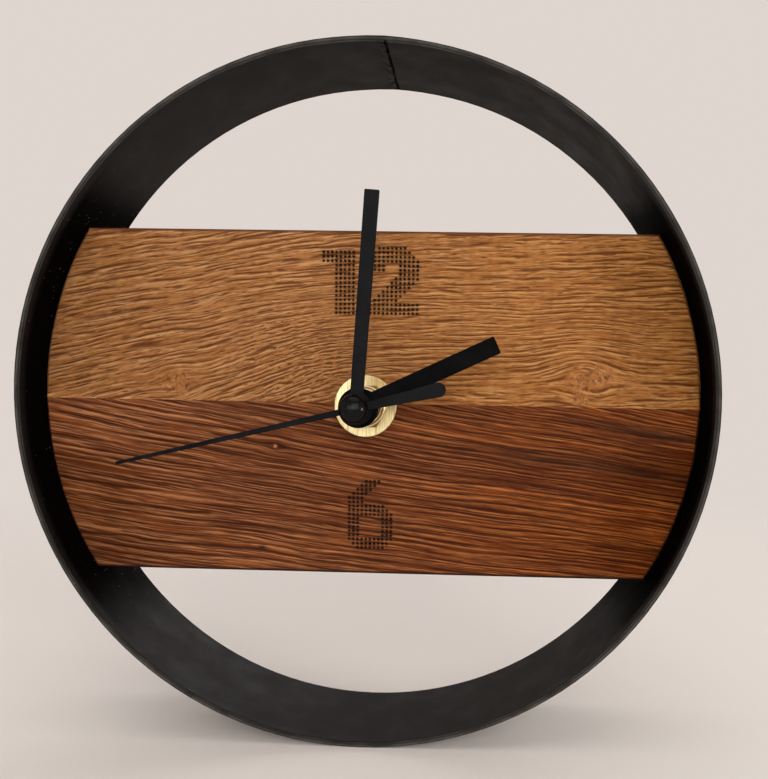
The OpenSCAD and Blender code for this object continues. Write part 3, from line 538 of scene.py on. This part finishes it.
MATERIALS = {
    "black_steel": black_steel(),
    "light_oak": light_oak(),
    "dark_oak": dark_oak(),
    "screw_steel": brushed("screw_steel", (0.09, 0.088, 0.085), 0.42, "x"),
    "zinc_steel": brushed("zinc_steel", (0.40, 0.40, 0.41), 0.32, "x"),
    "black_rubber": coated("black_rubber", (0.02, 0.02, 0.02), 0.75, grain_mm=0.4, bump=0.03),
    "brass": brushed("brass", (0.82, 0.68, 0.37), 0.38, "z", bump=0.02, dark=0.8, painted_dark_reflection=(3.2, 5.8, 3.6)),
    "black_plastic": coated("black_plastic", (0.022, 0.022, 0.024), 0.48, grain_mm=0.18, bump=0.014),
    "white_plastic": coated("white_plastic", (0.72, 0.70, 0.64), 0.42, subsurface_weight=0.05),
    "battery_can": battery_wrap(),
    "contact_steel": brushed("contact_steel", (0.70, 0.68, 0.64), 0.25, "z"),
    "green_board": coated("green_board", (0.02, 0.16, 0.06), 0.3, grain_mm=0.4),
    "resin": coated("resin", (0.012, 0.012, 0.012), 0.2, grain_mm=0.8, bump=0.03),
    "crystal_can": brushed("crystal_can", (0.78, 0.78, 0.78), 0.16, "z", dark=0.2),
    "copper_wire": copper_wire(),
    "stator_steel": brushed("stator_steel", (0.52, 0.51, 0.50), 0.35, "x"),
    "magnet": brushed("magnet", (0.14, 0.14, 0.15), 0.5, "y"),
    "gear_plastic": coated("gear_plastic", (0.74, 0.73, 0.68), 0.38, subsurface_weight=0.05),
    "arbor_steel": brushed("arbor_steel", (0.62, 0.61, 0.6), 0.2, "y"),
    "hand_black": coated("hand_black", (0.0024, 0.0027, 0.0036), 0.45, grain_mm=0.09, bump=0.006,
                         specular_ior_level=0.055),
    "dome_black": coated("dome_black", (0.0008, 0.0008, 0.0008), 0.17, grain_mm=2.0, bump=0.002,
                         specular_ior_level=0.12),
    "deep_black": coated("deep_black", (0.0010, 0.0009, 0.0010), 0.5, grain_mm=0.09, bump=0.006,
                         specular_ior_level=0.022),
    # The marks' paler black is painted sheen: they are the case's own plastic, only glossier
    "mark_black": coated("mark_black", (0.060, 0.060, 0.064), 0.34, grain_mm=0.3, bump=0.006),
    "turned_brass": turned_brass(),
    "zinc_screws": brushed("zinc_screws", (0.24, 0.23, 0.21), 0.28, "z"),
}
SLOT_OF = {row["node"]: row["material_slot"] for row in frame["record"]["subparts"]}
BODY_OF = {node: body for body, nodes in frame["record"]["behaviour"]["bodies"].items() for node in nodes}


def dress(thing, slot):
    thing.data.materials.clear()
    thing.data.materials.append(MATERIALS[slot])


for node_name, node_object in frame["nodes"].items():
    dress(node_object, SLOT_OF[node_name])
frame["nodes"]["hanger_screws"].data.materials[0] = MATERIALS["zinc_screws"]


# Shapes

# Corners closer than this, in metres, are one corner
SAME = 2e-6


def piece(name, shape, node, smooth_deg=35.0, stands_for=None):
    """Makes an object of a bmesh, in the finish and on the body of a CAD node."""
    mesh = bpy.data.meshes.new(name)
    shape.normal_update()
    shape.to_mesh(mesh)
    shape.free()
    mesh.polygons.foreach_set("use_smooth", [True] * len(mesh.polygons))
    mesh.set_sharp_from_angle(angle=math.radians(smooth_deg))
    made = bpy.data.objects.new(name, mesh)
    bpy.context.scene.collection.objects.link(made)
    dress(made, SLOT_OF[node])
    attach(made, BODY_OF[node])
    if stands_for:
        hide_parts(*stands_for)
    return made


def welded(node):
    """A node's mesh with its corners joined and its flat faces whole."""
    shape = bmesh.new()
    shape.from_mesh(frame["nodes"][node].data)
    bmesh.ops.remove_doubles(shape, verts=shape.verts, dist=SAME)
    bmesh.ops.dissolve_limit(shape, angle_limit=math.radians(0.2), verts=shape.verts, edges=shape.edges)
    return shape


def rounded(shape, edges, width_mm):
    bmesh.ops.bevel(shape, geom=edges, offset=width_mm * MM, offset_type="OFFSET", segments=2,
                    profile=0.5, affect="EDGES", clamp_overlap=True)


def softened(node, width_mm):
    """Replaces a node by the same shape with its sharp edges rounded."""
    shape = welded(node)
    inner = [e for e in shape.edges if len(e.link_faces) == 2]
    rounded(shape, [e for e in inner if e.calc_face_angle() > math.radians(30)], width_mm)
    made = piece(node + "_finished", shape, node, stands_for=[node])
    made.modifiers.new("even normals", "WEIGHTED_NORMAL").keep_sharp = True
    return made


def circle(x, z, r, sides):
    """The corners (x, z) of a regular polygon round (x, z)."""
    turns = [2 * math.pi * i / sides for i in range(sides)]
    return [(x + r * math.cos(turn), z + r * math.sin(turn)) for turn in turns]


def bridge(shape, a, b):
    """Joins two closed rows of vertices by faces. Either row may be one vertex."""
    count = max(len(a), len(b))
    for i in range(count):
        j = (i + 1) % count
        corners = (a[i % len(a)], a[j % len(a)], b[j % len(b)], b[i % len(b)])
        shape.faces.new(list(dict.fromkeys(corners)))


def slice_at(shape, geometry, point, normal):
    bmesh.ops.bisect_plane(shape, geom=geometry, dist=1e-7, plane_co=point, plane_no=normal)


# Boards with their burnt dots

DOT_R = 0.31 * MM
DOT_SIDES = 12
PIT_DEPTH = 0.4 * MM
# How a burnt dot narrows towards its floor: share of its radius, and millimetres below the face
PIT = ((1.0, 0.0), (0.93, 0.12), (0.82, 0.28), (0.55, 0.38))


def board(node):
    """The board's CAD shape with a finer face: each dot is a round pit, and soot lies around it."""
    shape = bmesh.new()
    shape.from_mesh(frame["nodes"][node].data)
    layer = shape.verts.layers.float.new("soot")
    bmesh.ops.remove_doubles(shape, verts=shape.verts, dist=SAME)
    floor_y, near = FACE_Y + PIT_DEPTH, 0.02 * MM
    # Each dot's floor is an island of faces at one depth
    floors = [f for f in shape.faces if all(abs(v.co.y - floor_y) < near for v in f.verts)]
    centres = island_centres(floors)
    shallow = [f for f in shape.faces if all(v.co.y < floor_y + near for v in f.verts)]
    bmesh.ops.delete(shape, geom=shallow, context="FACES")
    rim = [v for v in shape.verts if any(e.is_boundary for e in v.link_edges)]
    edges = [e for e in shape.edges if e.is_boundary]
    index = {v: i for i, v in enumerate(rim)}
    points = [(v.co.x, v.co.z) for v in rim]
    links = [(index[e.verts[0]], index[e.verts[1]]) for e in edges]
    spots, outline = np.array(centres), np.array(points)
    radii = DOT_R * rng.uniform(0.72, 0.96, len(centres))
    for (x, z), r in zip(centres, radii):
        first = len(points)
        points += circle(x, z, r, DOT_SIDES)
        links += [(first + i, first + (i + 1) % DOT_SIDES) for i in range(DOT_SIDES)]
    points += soot_grid(spots, outline)
    flat = delaunay_2d_cdt([Vector(p) for p in points], links, [], 0, 1e-8)
    spread = board_soot(spots, np.array([tuple(p) for p in flat[0]]))
    inside_face = face_test(edges)
    made = [shape.verts.new((p.x, FACE_Y, p.y)) for p in flat[0]]
    soot = dict(zip(made, spread))
    for tri in flat[2]:
        centre = sum((flat[0][i] for i in tri), Vector((0, 0))) / len(tri)
        in_dot = (distances(spots, centre.x, centre.y) - radii * 0.95).min() < 0
        if not in_dot and inside_face(centre.x, centre.y):
            shape.faces.new([made[i] for i in tri])
    # Pits: a wall that narrows and a rounded floor
    for (x, z), r in zip(centres, radii):
        rings = [[shape.verts.new((corner_x, FACE_Y + depth * MM, corner_z))
                  for corner_x, corner_z in circle(x, z, r * share, DOT_SIDES)] for share, depth in PIT]
        rings.append([shape.verts.new((x, floor_y, z))])
        for a, b in zip(rings, rings[1:]):
            bridge(shape, a, b)
        soot.update({v: 1.0 for ring in rings for v in ring})
    for v, s in soot.items():
        v[layer] = s
    bmesh.ops.remove_doubles(shape, verts=shape.verts, dist=SAME)
    loose = [v for v in shape.verts if not v.link_faces]
    bmesh.ops.delete(shape, geom=loose, context="VERTS")
    bmesh.ops.recalc_face_normals(shape, faces=shape.faces)
    return piece(node + "_engraved", shape, node, stands_for=[node])


def island_centres(faces):
    """The middle (x, z) of each group of touching faces, in the order of the groups' first faces."""
    left, found = set(faces), []
    for start in faces:
        if start not in left:
            continue
        left.discard(start)
        queue, group = [start], []
        while queue:
            face = queue.pop()
            group.append(face)
            for edge in face.edges:
                for other in edge.link_faces:
                    if other in left:
                        left.discard(other)
                        queue.append(other)
        spots = np.array([(v.co.x, v.co.z) for f in group for v in f.verts])
        found.append(tuple((spots.min(0) + spots.max(0)) / 2))
    return found


def distances(points, x, z):
    return np.hypot(points[:, 0] - x, points[:, 1] - z)


def soot_grid(spots, outline):
    """A fine grid of points around the numerals, which carries the soot."""
    margin, step = 2.4 * MM, 1.07 * MM / 4
    low, high = spots.min(0) - margin, spots.max(0) + margin
    return [(x, z) for x in np.arange(low[0], high[0], step) for z in np.arange(low[1], high[1], step)
            if DOT_R * 1.25 < distances(spots, x, z).min() < margin
            and distances(outline, x, z).min() > 0.5 * MM]


def board_soot(spots, points):
    """How sooty each point is: dark at a dot's rim, with a faint haze over the numeral."""
    near_mm, haze_mm = 0.08, 0.75
    gaps = np.hypot(points[:, None, 0] - spots[None, :, 0], points[:, None, 1] - spots[None, :, 1]) / MM
    rim = np.maximum(gaps.min(1) - DOT_R / MM, 0)
    haze = np.exp(-(gaps / haze_mm) ** 2).sum(1)
    blur = 0.55 * np.exp(-(rim / near_mm) ** 2) + 0.13 * np.minimum(haze, 1.6)
    return np.clip(blur + rng.normal(0, 0.04, len(points)) * (blur > 0.05), 0, 1)


def face_test(edges):
    """A test of whether (x, z) lies inside the loops of edges, by counting crossings."""
    ends = np.array([[(v.co.x, v.co.z) for v in e.verts] for e in edges])

    def inside(x, z):
        a, b = ends[:, 0], ends[:, 1]
        spans = (a[:, 1] > z) != (b[:, 1] > z)
        with np.errstate(divide="ignore", invalid="ignore"):
            cross = a[:, 0] + (z - a[:, 1]) * (b[:, 0] - a[:, 0]) / (b[:, 1] - a[:, 1])
        return bool(np.count_nonzero(spans & (cross > x)) % 2)

    return inside


board("upper_board")
board("lower_board")


# Turned pieces

def turned(r, turn, along, centre, axis):
    u, v = r * math.cos(turn), r * math.sin(turn)
    offset = {"x": (along, u, v), "y": (u, along, v)}[axis]
    return Vector(centre) + Vector(offset) * MM


def lathe(profile, centre, axis="y"):
    """Turns (radius, place along the axis) pairs, in millimetres, round an axis through centre."""
    full_circle = 64
    shape = bmesh.new()
    rings = []
    for r, along in profile:
        sides = full_circle if r else 1
        rings.append([shape.verts.new(turned(r, 2 * math.pi * i / sides, along, centre, axis))
                      for i in range(sides)])
    for a, b in zip(rings, rings[1:]):
        bridge(shape, a, b)
    bmesh.ops.recalc_face_normals(shape, faces=shape.faces)
    return shape


def dome():
    """The glossy cap on the second hand's boss: a short wall that rolls into a high crown."""
    low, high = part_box("second_hand_dome")
    r, rise, wall = (high.x - low.x) / 2 / MM, (high.y - low.y) / MM, 0.15
    crown = rise - wall
    profile = [(0, 0), (r - 0.06, 0), (r, -wall)]
    profile += [(r * math.cos(a), -wall - crown * math.sin(a)) for a in np.linspace(0.08, 1.5, 20)]
    profile.append((0, -rise))
    shape = lathe(profile, (SHAFT.x, high.y, SHAFT.z))
    piece("dome", shape, "second_hand_dome", stands_for=["second_hand_dome"])


def nut():
    """The hex nut, with the round chamfer that a turned nut has on both faces."""
    low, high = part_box("hex_nut")
    flat_r, thick = (high.z - low.z) / 2 / MM, (high.y - low.y) / MM
    bore, lip, lead = 4.0, 0.25, 0.3
    chamfer_r, chamfer_deg = flat_r - 0.12, 30
    sides = 96
    rows = [("bore", lead), ("lip", 0), ("chamfer", 0), ("flat", 0)]
    rows += [(kind, thick - along) for kind, along in rows[::-1]]
    shape = bmesh.new()
    rings = []
    for kind, along in rows:
        ring = []
        for i in range(sides):
            turn = 2 * math.pi * i / sides
            flat = flat_r / math.cos(turn % (math.pi / 3) - math.pi / 6)
            r = {"bore": bore, "lip": bore + lip, "chamfer": chamfer_r, "flat": flat}[kind]
            slope = (flat - chamfer_r) * math.tan(math.radians(chamfer_deg)) if kind == "flat" else 0
            at = along + slope if along < thick / 2 else along - slope
            ring.append(shape.verts.new(turned(r, turn, at, (SHAFT.x, low.y, SHAFT.z), "y")))
        rings.append(ring)
    for a, b in zip(rings, rings[1:] + rings[:1]):
        bridge(shape, a, b)
    bmesh.ops.recalc_face_normals(shape, faces=shape.faces)
    made = piece("nut", shape, "hex_nut", smooth_deg=22.0, stands_for=["hex_nut"])
    made.data.materials[0] = MATERIALS["turned_brass"]


def thread():
    """The bush with a real helical thread on the part that stands out of the boards."""
    shape = welded("threaded_bush")
    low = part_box("threaded_bush")[0]
    pitch, depth, steps = 0.75 * MM, 0.2 * MM, 6
    y = low.y + 0.25 * MM
    while y < FACE_Y + 1.0 * MM:
        slice_at(shape, list(shape.verts) + list(shape.edges) + list(shape.faces), (0, y, 0), (0, 1, 0))
        y += pitch / steps
    outer_r = 3.95 * MM
    for v in shape.verts:
        dx, dz = v.co.x - SHAFT.x, v.co.z - SHAFT.z
        r = math.hypot(dx, dz)
        if r > outer_r * 0.96 and low.y + 0.2 * MM < v.co.y < FACE_Y + 1.1 * MM:
            phase = ((v.co.y - low.y) / pitch + math.atan2(dz, dx) / (2 * math.pi)) % 1
            cut = depth * (1 - abs(2 * phase - 1))
            v.co.x, v.co.z = SHAFT.x + dx * (r - cut) / r, SHAFT.z + dz * (r - cut) / r
    piece("thread", shape, "threaded_bush", smooth_deg=25.0, stands_for=["threaded_bush"])


def cell():
    """The battery: a wrapped can with a rolled edge at each end, a crimp and the raised contact."""
    low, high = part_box("battery")
    r, length = (high.z - low.z) / 2 / MM, (high.x - low.x) / MM
    flat_end = [(0, 0), (4.6, 0), (5.1, 0.25), (5.6, 0.1), (r - 0.8, 0.05), (r - 0.25, 0.25), (r, 0.8)]
    crimp = [(r, length - 4.6), (r - 0.12, length - 4.2), (r - 0.12, length - 3.8), (r, length - 3.4)]
    shoulder = [(r, length - 2.3), (r - 0.25, length - 1.75), (r - 0.9, length - 1.5), (3.6, length - 1.45)]
    contact = [(3.2, length - 1.35), (2.75, length - 1.2), (2.7, length - 0.25), (2.45, length), (0, length)]
    centre = (low.x, (low.y + high.y) / 2, (low.z + high.z) / 2)
    shape = lathe(flat_end + crimp + shoulder + contact, centre, axis="x")
    piece("cell", shape, "battery", smooth_deg=40.0, stands_for=["battery"])


# Moulded marks

def raised(name, outlines, foot_y, top_y, node):
    """Low marks: each outline is a list of (x, z) points in metres, standing from foot_y to top_y."""
    shape = bmesh.new()
    tops = set()
    for outline in outlines:
        foot, top = ([shape.verts.new((x, y, z)) for x, z in outline] for y in (foot_y, top_y))
        shape.faces.new(foot)
        shape.faces.new(top)
        bridge(shape, foot, top)
        tops.update(top)
    bmesh.ops.recalc_face_normals(shape, faces=shape.faces)
    rounded(shape, [e for e in shape.edges if e.verts[0] in tops and e.verts[1] in tops], 0.06)
    piece(name, shape, node, smooth_deg=50.0).data.materials[0] = MATERIALS["mark_black"]


def case_marks():
    """Plus and minus marks over the battery's ends, an arrow round the setting knob, and the knob's ribs."""
    low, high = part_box("case_rear")
    arm, bar = 1.7 * MM, 0.42 * MM
    mark_z = low.z + 3.1 * MM
    plus_x, minus_x = high.x - 5.4 * MM, low.x + 5.4 * MM
    cross = [(bar, arm), (bar, bar), (arm, bar), (arm, -bar), (bar, -bar), (bar, -arm)]
    cross += [(-x, -z) for x, z in cross]
    dash = [(arm, bar), (arm, -bar), (-arm, -bar), (-arm, bar)]
    hub = middle("setting_knob")

    def at(r, turn):
        return hub.x + r * math.cos(turn), hub.z + r * math.sin(turn)

    start, end, head = math.radians(-40), math.radians(95), math.radians(116)
    outer, inner, wing = 7.1 * MM, 6.3 * MM, 0.8 * MM
    sweep = np.linspace(start, end, 28)
    arrow = [at(outer, a) for a in sweep]
    arrow += [at(outer + wing, end), at((outer + inner) / 2, head), at(inner - wing, end)]
    arrow += [at(inner, a) for a in sweep[::-1]]
    plus = [(plus_x + x, mark_z + z) for x, z in cross]
    minus = [(minus_x + x, mark_z + z) for x, z in dash]
    raised("case_marks", [plus, minus, arrow], high.y - 0.1 * MM, high.y + 0.4 * MM, "case_rear")
    knob_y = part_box("setting_knob")[1].y
    half_w = 0.17 * MM
    ribs = []
    for turn in np.arange(24) * math.pi / 12:
        (x0, z0), (x1, z1) = at(2.7 * MM, turn), at(4.1 * MM, turn)
        dx, dz = -half_w * math.sin(turn), half_w * math.cos(turn)
        ribs.append([(x0 - dx, z0 - dz), (x1 - dx, z1 - dz), (x1 + dx, z1 + dz), (x0 + dx, z0 + dz)])
    raised("knob_ribs", ribs, knob_y - 0.1 * MM, knob_y + 0.3 * MM, "setting_knob")


# Ring, fittings and hands

def weld():
    """The bead that joins the ring's ends: ragged ripples on the inner wall and a low trace outside."""
    sunk_mm, rows = 0.12, 90
    bead("weld_inside", 3.35, RING_INNER_R / MM + sunk_mm, side=-1, half_w=0.75, height=0.26, rows=rows)
    bead("weld_outside", 3.6, RING_R / MM + sunk_mm, side=1, half_w=1.5, height=0.2, rows=rows)


def drift(count, reach=9):
    """Random numbers that change slowly, with a spread of about 1."""
    window = np.hanning(reach + 2)[1:-1]
    return np.convolve(rng.normal(0, 1, count + reach - 1), window / np.sqrt((window ** 2).sum()), "valid")


def gap(ring, arc_mm, half_w, cut_mm, first, last):
    """Cuts a ragged V into the inner wall along the ring's depth, from first to last mm behind the front."""
    step_mm, near_mm = 0.7, 4.5
    shape = bmesh.new()
    shape.from_mesh(ring.data)

    def local():
        near = [f for f in shape.faces if f.calc_center_median().z > RING.z
                and abs((f.calc_center_median().x - RING.x) / MM - arc_mm) < near_mm]
        return list({g for f in near for g in (f, *f.edges, *f.verts)})

    for shift in (-half_w, 0.0, half_w):
        turn = (arc_mm + shift) * MM / RING_INNER_R
        slice_at(shape, local(), RING, (math.cos(turn), 0, -math.sin(turn)))
    steps = np.arange(first, last, step_mm)
    for y in steps:
        slice_at(shape, local(), (0, RING_FRONT + y * MM, 0), (0, 1, 0))
    sway = drift(len(steps)) * 0.16
    cut = np.clip(0.75 + 0.35 * drift(len(steps)), 0.1, 1.2)
    cut[-1] = 0
    for v in shape.verts:
        dx, dz = v.co.x - RING.x, v.co.z - RING.z
        r, turn, y = math.hypot(dx, dz), math.atan2(dx, dz), (v.co.y - RING_FRONT) / MM
        away = turn * RING_INNER_R / MM - arc_mm
        if r > RING_INNER_R + 0.5 * MM or abs(away) > half_w * 1.01 or y > last:
            continue
        turn += float(np.interp(y, steps, sway)) * MM / RING_INNER_R
        if abs(away) < 0.01:
            r += float(np.interp(y, steps, cut)) * cut_mm * MM
        v.co.x, v.co.z = RING.x + r * math.sin(turn), RING.z + r * math.cos(turn)
    shape.to_mesh(ring.data)
    shape.free()


def peak(ring, arc_mm, rise_mm, reach_mm):
    """Lifts the ring's ends where they meet, so that its outline has a low corner there."""
    for v in ring.data.vertices:
        turn = math.atan2(v.co.x - RING.x, v.co.z - RING.z)
        share = 1 - abs(turn * RING_R / MM - arc_mm) / reach_mm
        if share > 0:
            v.co.x += rise_mm * MM * share * math.sin(turn)
            v.co.z += rise_mm * MM * share * math.cos(turn)


def bead(name, arc_mm, wall_r, side, half_w, height, rows):
    """A strip along the ring's depth, arc_mm right of the top, standing off a wall of radius wall_r."""
    depth, inset, foot, fade = -RING_FRONT / MM, 0.12, 0.06, 0.8
    noise = np.array([drift(rows) for _ in range(3)])
    shape = bmesh.new()
    shares = np.linspace(-1, 1, 9)
    lines = []
    for k, along in enumerate(np.linspace(-depth + inset, -inset, rows)):
        ripple = np.clip(0.75 + 0.3 * noise[0, k], 0.2, 1.3)
        end = min(1.0, (along + depth) / fade + 0.15, -along / fade + 0.15)
        wide = half_w * (1 + 0.22 * noise[1, k])
        line = []
        for share in shares:
            arc = arc_mm + 0.16 * noise[2, k] + wide * share
            lift = height * ripple * end * (1 - share * share) ** 0.7 - foot
            r = wall_r + side * lift
            turn = arc / wall_r
            spot = Vector((r * math.sin(turn), along, r * math.cos(turn))) * MM
            line.append(shape.verts.new(spot + Vector((RING.x, 0, RING.z))))
        lines.append(line)
    for a, b in zip(lines, lines[1:]):
        for i in range(len(shares) - 1):
            shape.faces.new((a[i], a[i + 1], b[i + 1], b[i]))
    # A floor inside the steel closes the bead
    bmesh.ops.holes_fill(shape, edges=[e for e in shape.edges if e.is_boundary], sides=0)
    bmesh.ops.triangulate(shape, faces=[f for f in shape.faces if len(f.verts) > 4])
    bmesh.ops.recalc_face_normals(shape, faces=shape.faces)
    piece(name, shape, "steel_ring", smooth_deg=60.0)


steel_ring = softened("steel_ring", 0.22)
gap(steel_ring, GROOVE_ARC, half_w=0.4, cut_mm=0.7, first=-0.1, last=32.1)
gap(steel_ring, 2.45, half_w=0.26, cut_mm=0.3, first=9.0, last=30.0)
peak(steel_ring, 4.0, rise_mm=0.14, reach_mm=10.0)
weld()
softened("hour_hand", 0.07).data.materials[0] = MATERIALS["deep_black"]
for soft_node, edge_mm in (("minute_hand", 0.07), ("second_hand", 0.07), ("brass_washer", 0.2),
                           ("hanger_plate", 0.12), ("case_rear", 0.3), ("setting_knob", 0.1)):
    softened(soft_node, edge_mm)
nut()
thread()
dome()
cell()
case_marks()


# Floor, backdrop, light and camera

def stage_cove():
    """A pale floor that curves up into a round backdrop, with no edge to be seen from any side."""
    floor_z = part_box("steel_ring")[0].z
    flat_r, bend_r, height, sides = 1.1, 0.5, 1.6, 96
    profile = [(0.3, 0.0), (flat_r, 0.0)]
    profile += [(flat_r + bend_r * math.sin(a), bend_r * (1 - math.cos(a)))
                for a in np.linspace(0.1, math.pi / 2, 12)]
    profile.append((flat_r + bend_r, height))
    shape = bmesh.new()
    rings = [[shape.verts.new((x, y, floor_z + z)) for x, y in circle(0, 0, r, sides)] for r, z in profile]
    bridge(shape, rings[0], [shape.verts.new((0, 0, floor_z))])
    for a, b in zip(rings, rings[1:]):
        bridge(shape, b, a)
    mesh = bpy.data.meshes.new("floor")
    shape.to_mesh(mesh)
    shape.free()
    mesh.polygons.foreach_set("use_smooth", [True] * len(mesh.polygons))
    cove = bpy.data.objects.new("floor", mesh)
    bpy.context.scene.collection.objects.link(cove)
    cove.data.materials.append(pale_stage(floor_z))


def pale_stage(floor_z):
    """Matt near the clock, where it takes the shadow, and an even wall colour further out."""
    paint = Paint("pale_stage", colour=(0.80, 0.75, 0.71), roughness=0.9, specular_ior_level=0.1)
    x, y, z = paint.place()
    up = paint.sub(z, (floor_z - RING.z) / MM)
    out = paint.math("SQRT", paint.add(paint.mul(x, x), paint.mul(y, y), paint.mul(up, up)))
    light_path = paint.node("ShaderNodeLightPath").outputs
    seen = paint.most(*(light_path[ray] for ray in ("Is Camera Ray", "Is Glossy Ray", "Is Transmission Ray")))
    glow = paint.node("ShaderNodeEmission", (0.735, 0.665, 0.617))
    share = paint.mul(paint.span(out, 130.0, 520.0), seen)
    blend = paint.node("ShaderNodeMixShader", share, paint.shader.outputs[0], glow.outputs[0])
    paint.put(paint.tree.nodes["Material Output"].inputs["Surface"], blend.outputs[0])
    return paint.material


def area_light(name, at, size, power, colour):
    """A square lamp that faces the clock and isn't seen itself."""
    data = bpy.data.lights.new(name, "AREA")
    data.size = size
    data.energy = power
    data.color = colour
    lamp = bpy.data.objects.new(name, data)
    lamp.location = at
    lamp.rotation_euler = (RING - Vector(at)).to_track_quat("-Z", "Y").to_euler()
    lamp.visible_camera = False
    bpy.context.scene.collection.objects.link(lamp)


def lights():
    area_light("key", (0.34, -1.28, 0.34), 0.95, 8.7, (1.0, 0.975, 0.94))
    area_light("fill", (-0.32, -1.32, 0.02), 0.95, 7.9, (0.96, 0.975, 1.0))
    area_light("side", (0.95, -0.50, -0.01), 0.2, 3.6, (1.0, 0.97, 0.92))
    area_light("top", (0.0, -0.15, 1.35), 1.3, 5.5, (1.0, 0.99, 0.98))
    area_light("back", (0.5, 1.2, 0.2), 1.1, 8.0, (1.0, 1.0, 1.0))
    world = bpy.data.worlds.new("world")
    world.use_nodes = True
    sky = world.node_tree.nodes["Background"].inputs
    sky["Color"].default_value = (0.98, 0.98, 1.0, 1.0)
    sky["Strength"].default_value = 0.36
    bpy.context.scene.world = world


def camera():
    """The photograph's view: a close camera, right of the ring's centre and slightly above it, and a crop."""
    frame_w, frame_h = 768, 779
    focal_px, centre_x_px, centre_y_px = 830, 449.1, 444.1
    data = bpy.data.cameras.new("camera")
    data.sensor_width = 36.0
    data.lens = focal_px * data.sensor_width / frame_h
    data.shift_x = (frame_w / 2 - centre_x_px) / frame_h
    data.shift_y = (centre_y_px - frame_h / 2) / frame_h
    data.clip_start = 0.01
    seer = bpy.data.objects.new("camera", data)
    seer.location = (27.11 * MM, -229.84 * MM, -28.11 * MM)
    seer.rotation_euler = Euler([math.radians(a) for a in (85.267, -1.030, 1.922)])
    bpy.context.scene.collection.objects.link(seer)
    bpy.context.scene.camera = seer


stage_cove()
lights()
camera()
bpy.context.scene.view_settings.view_transform = "Standard"
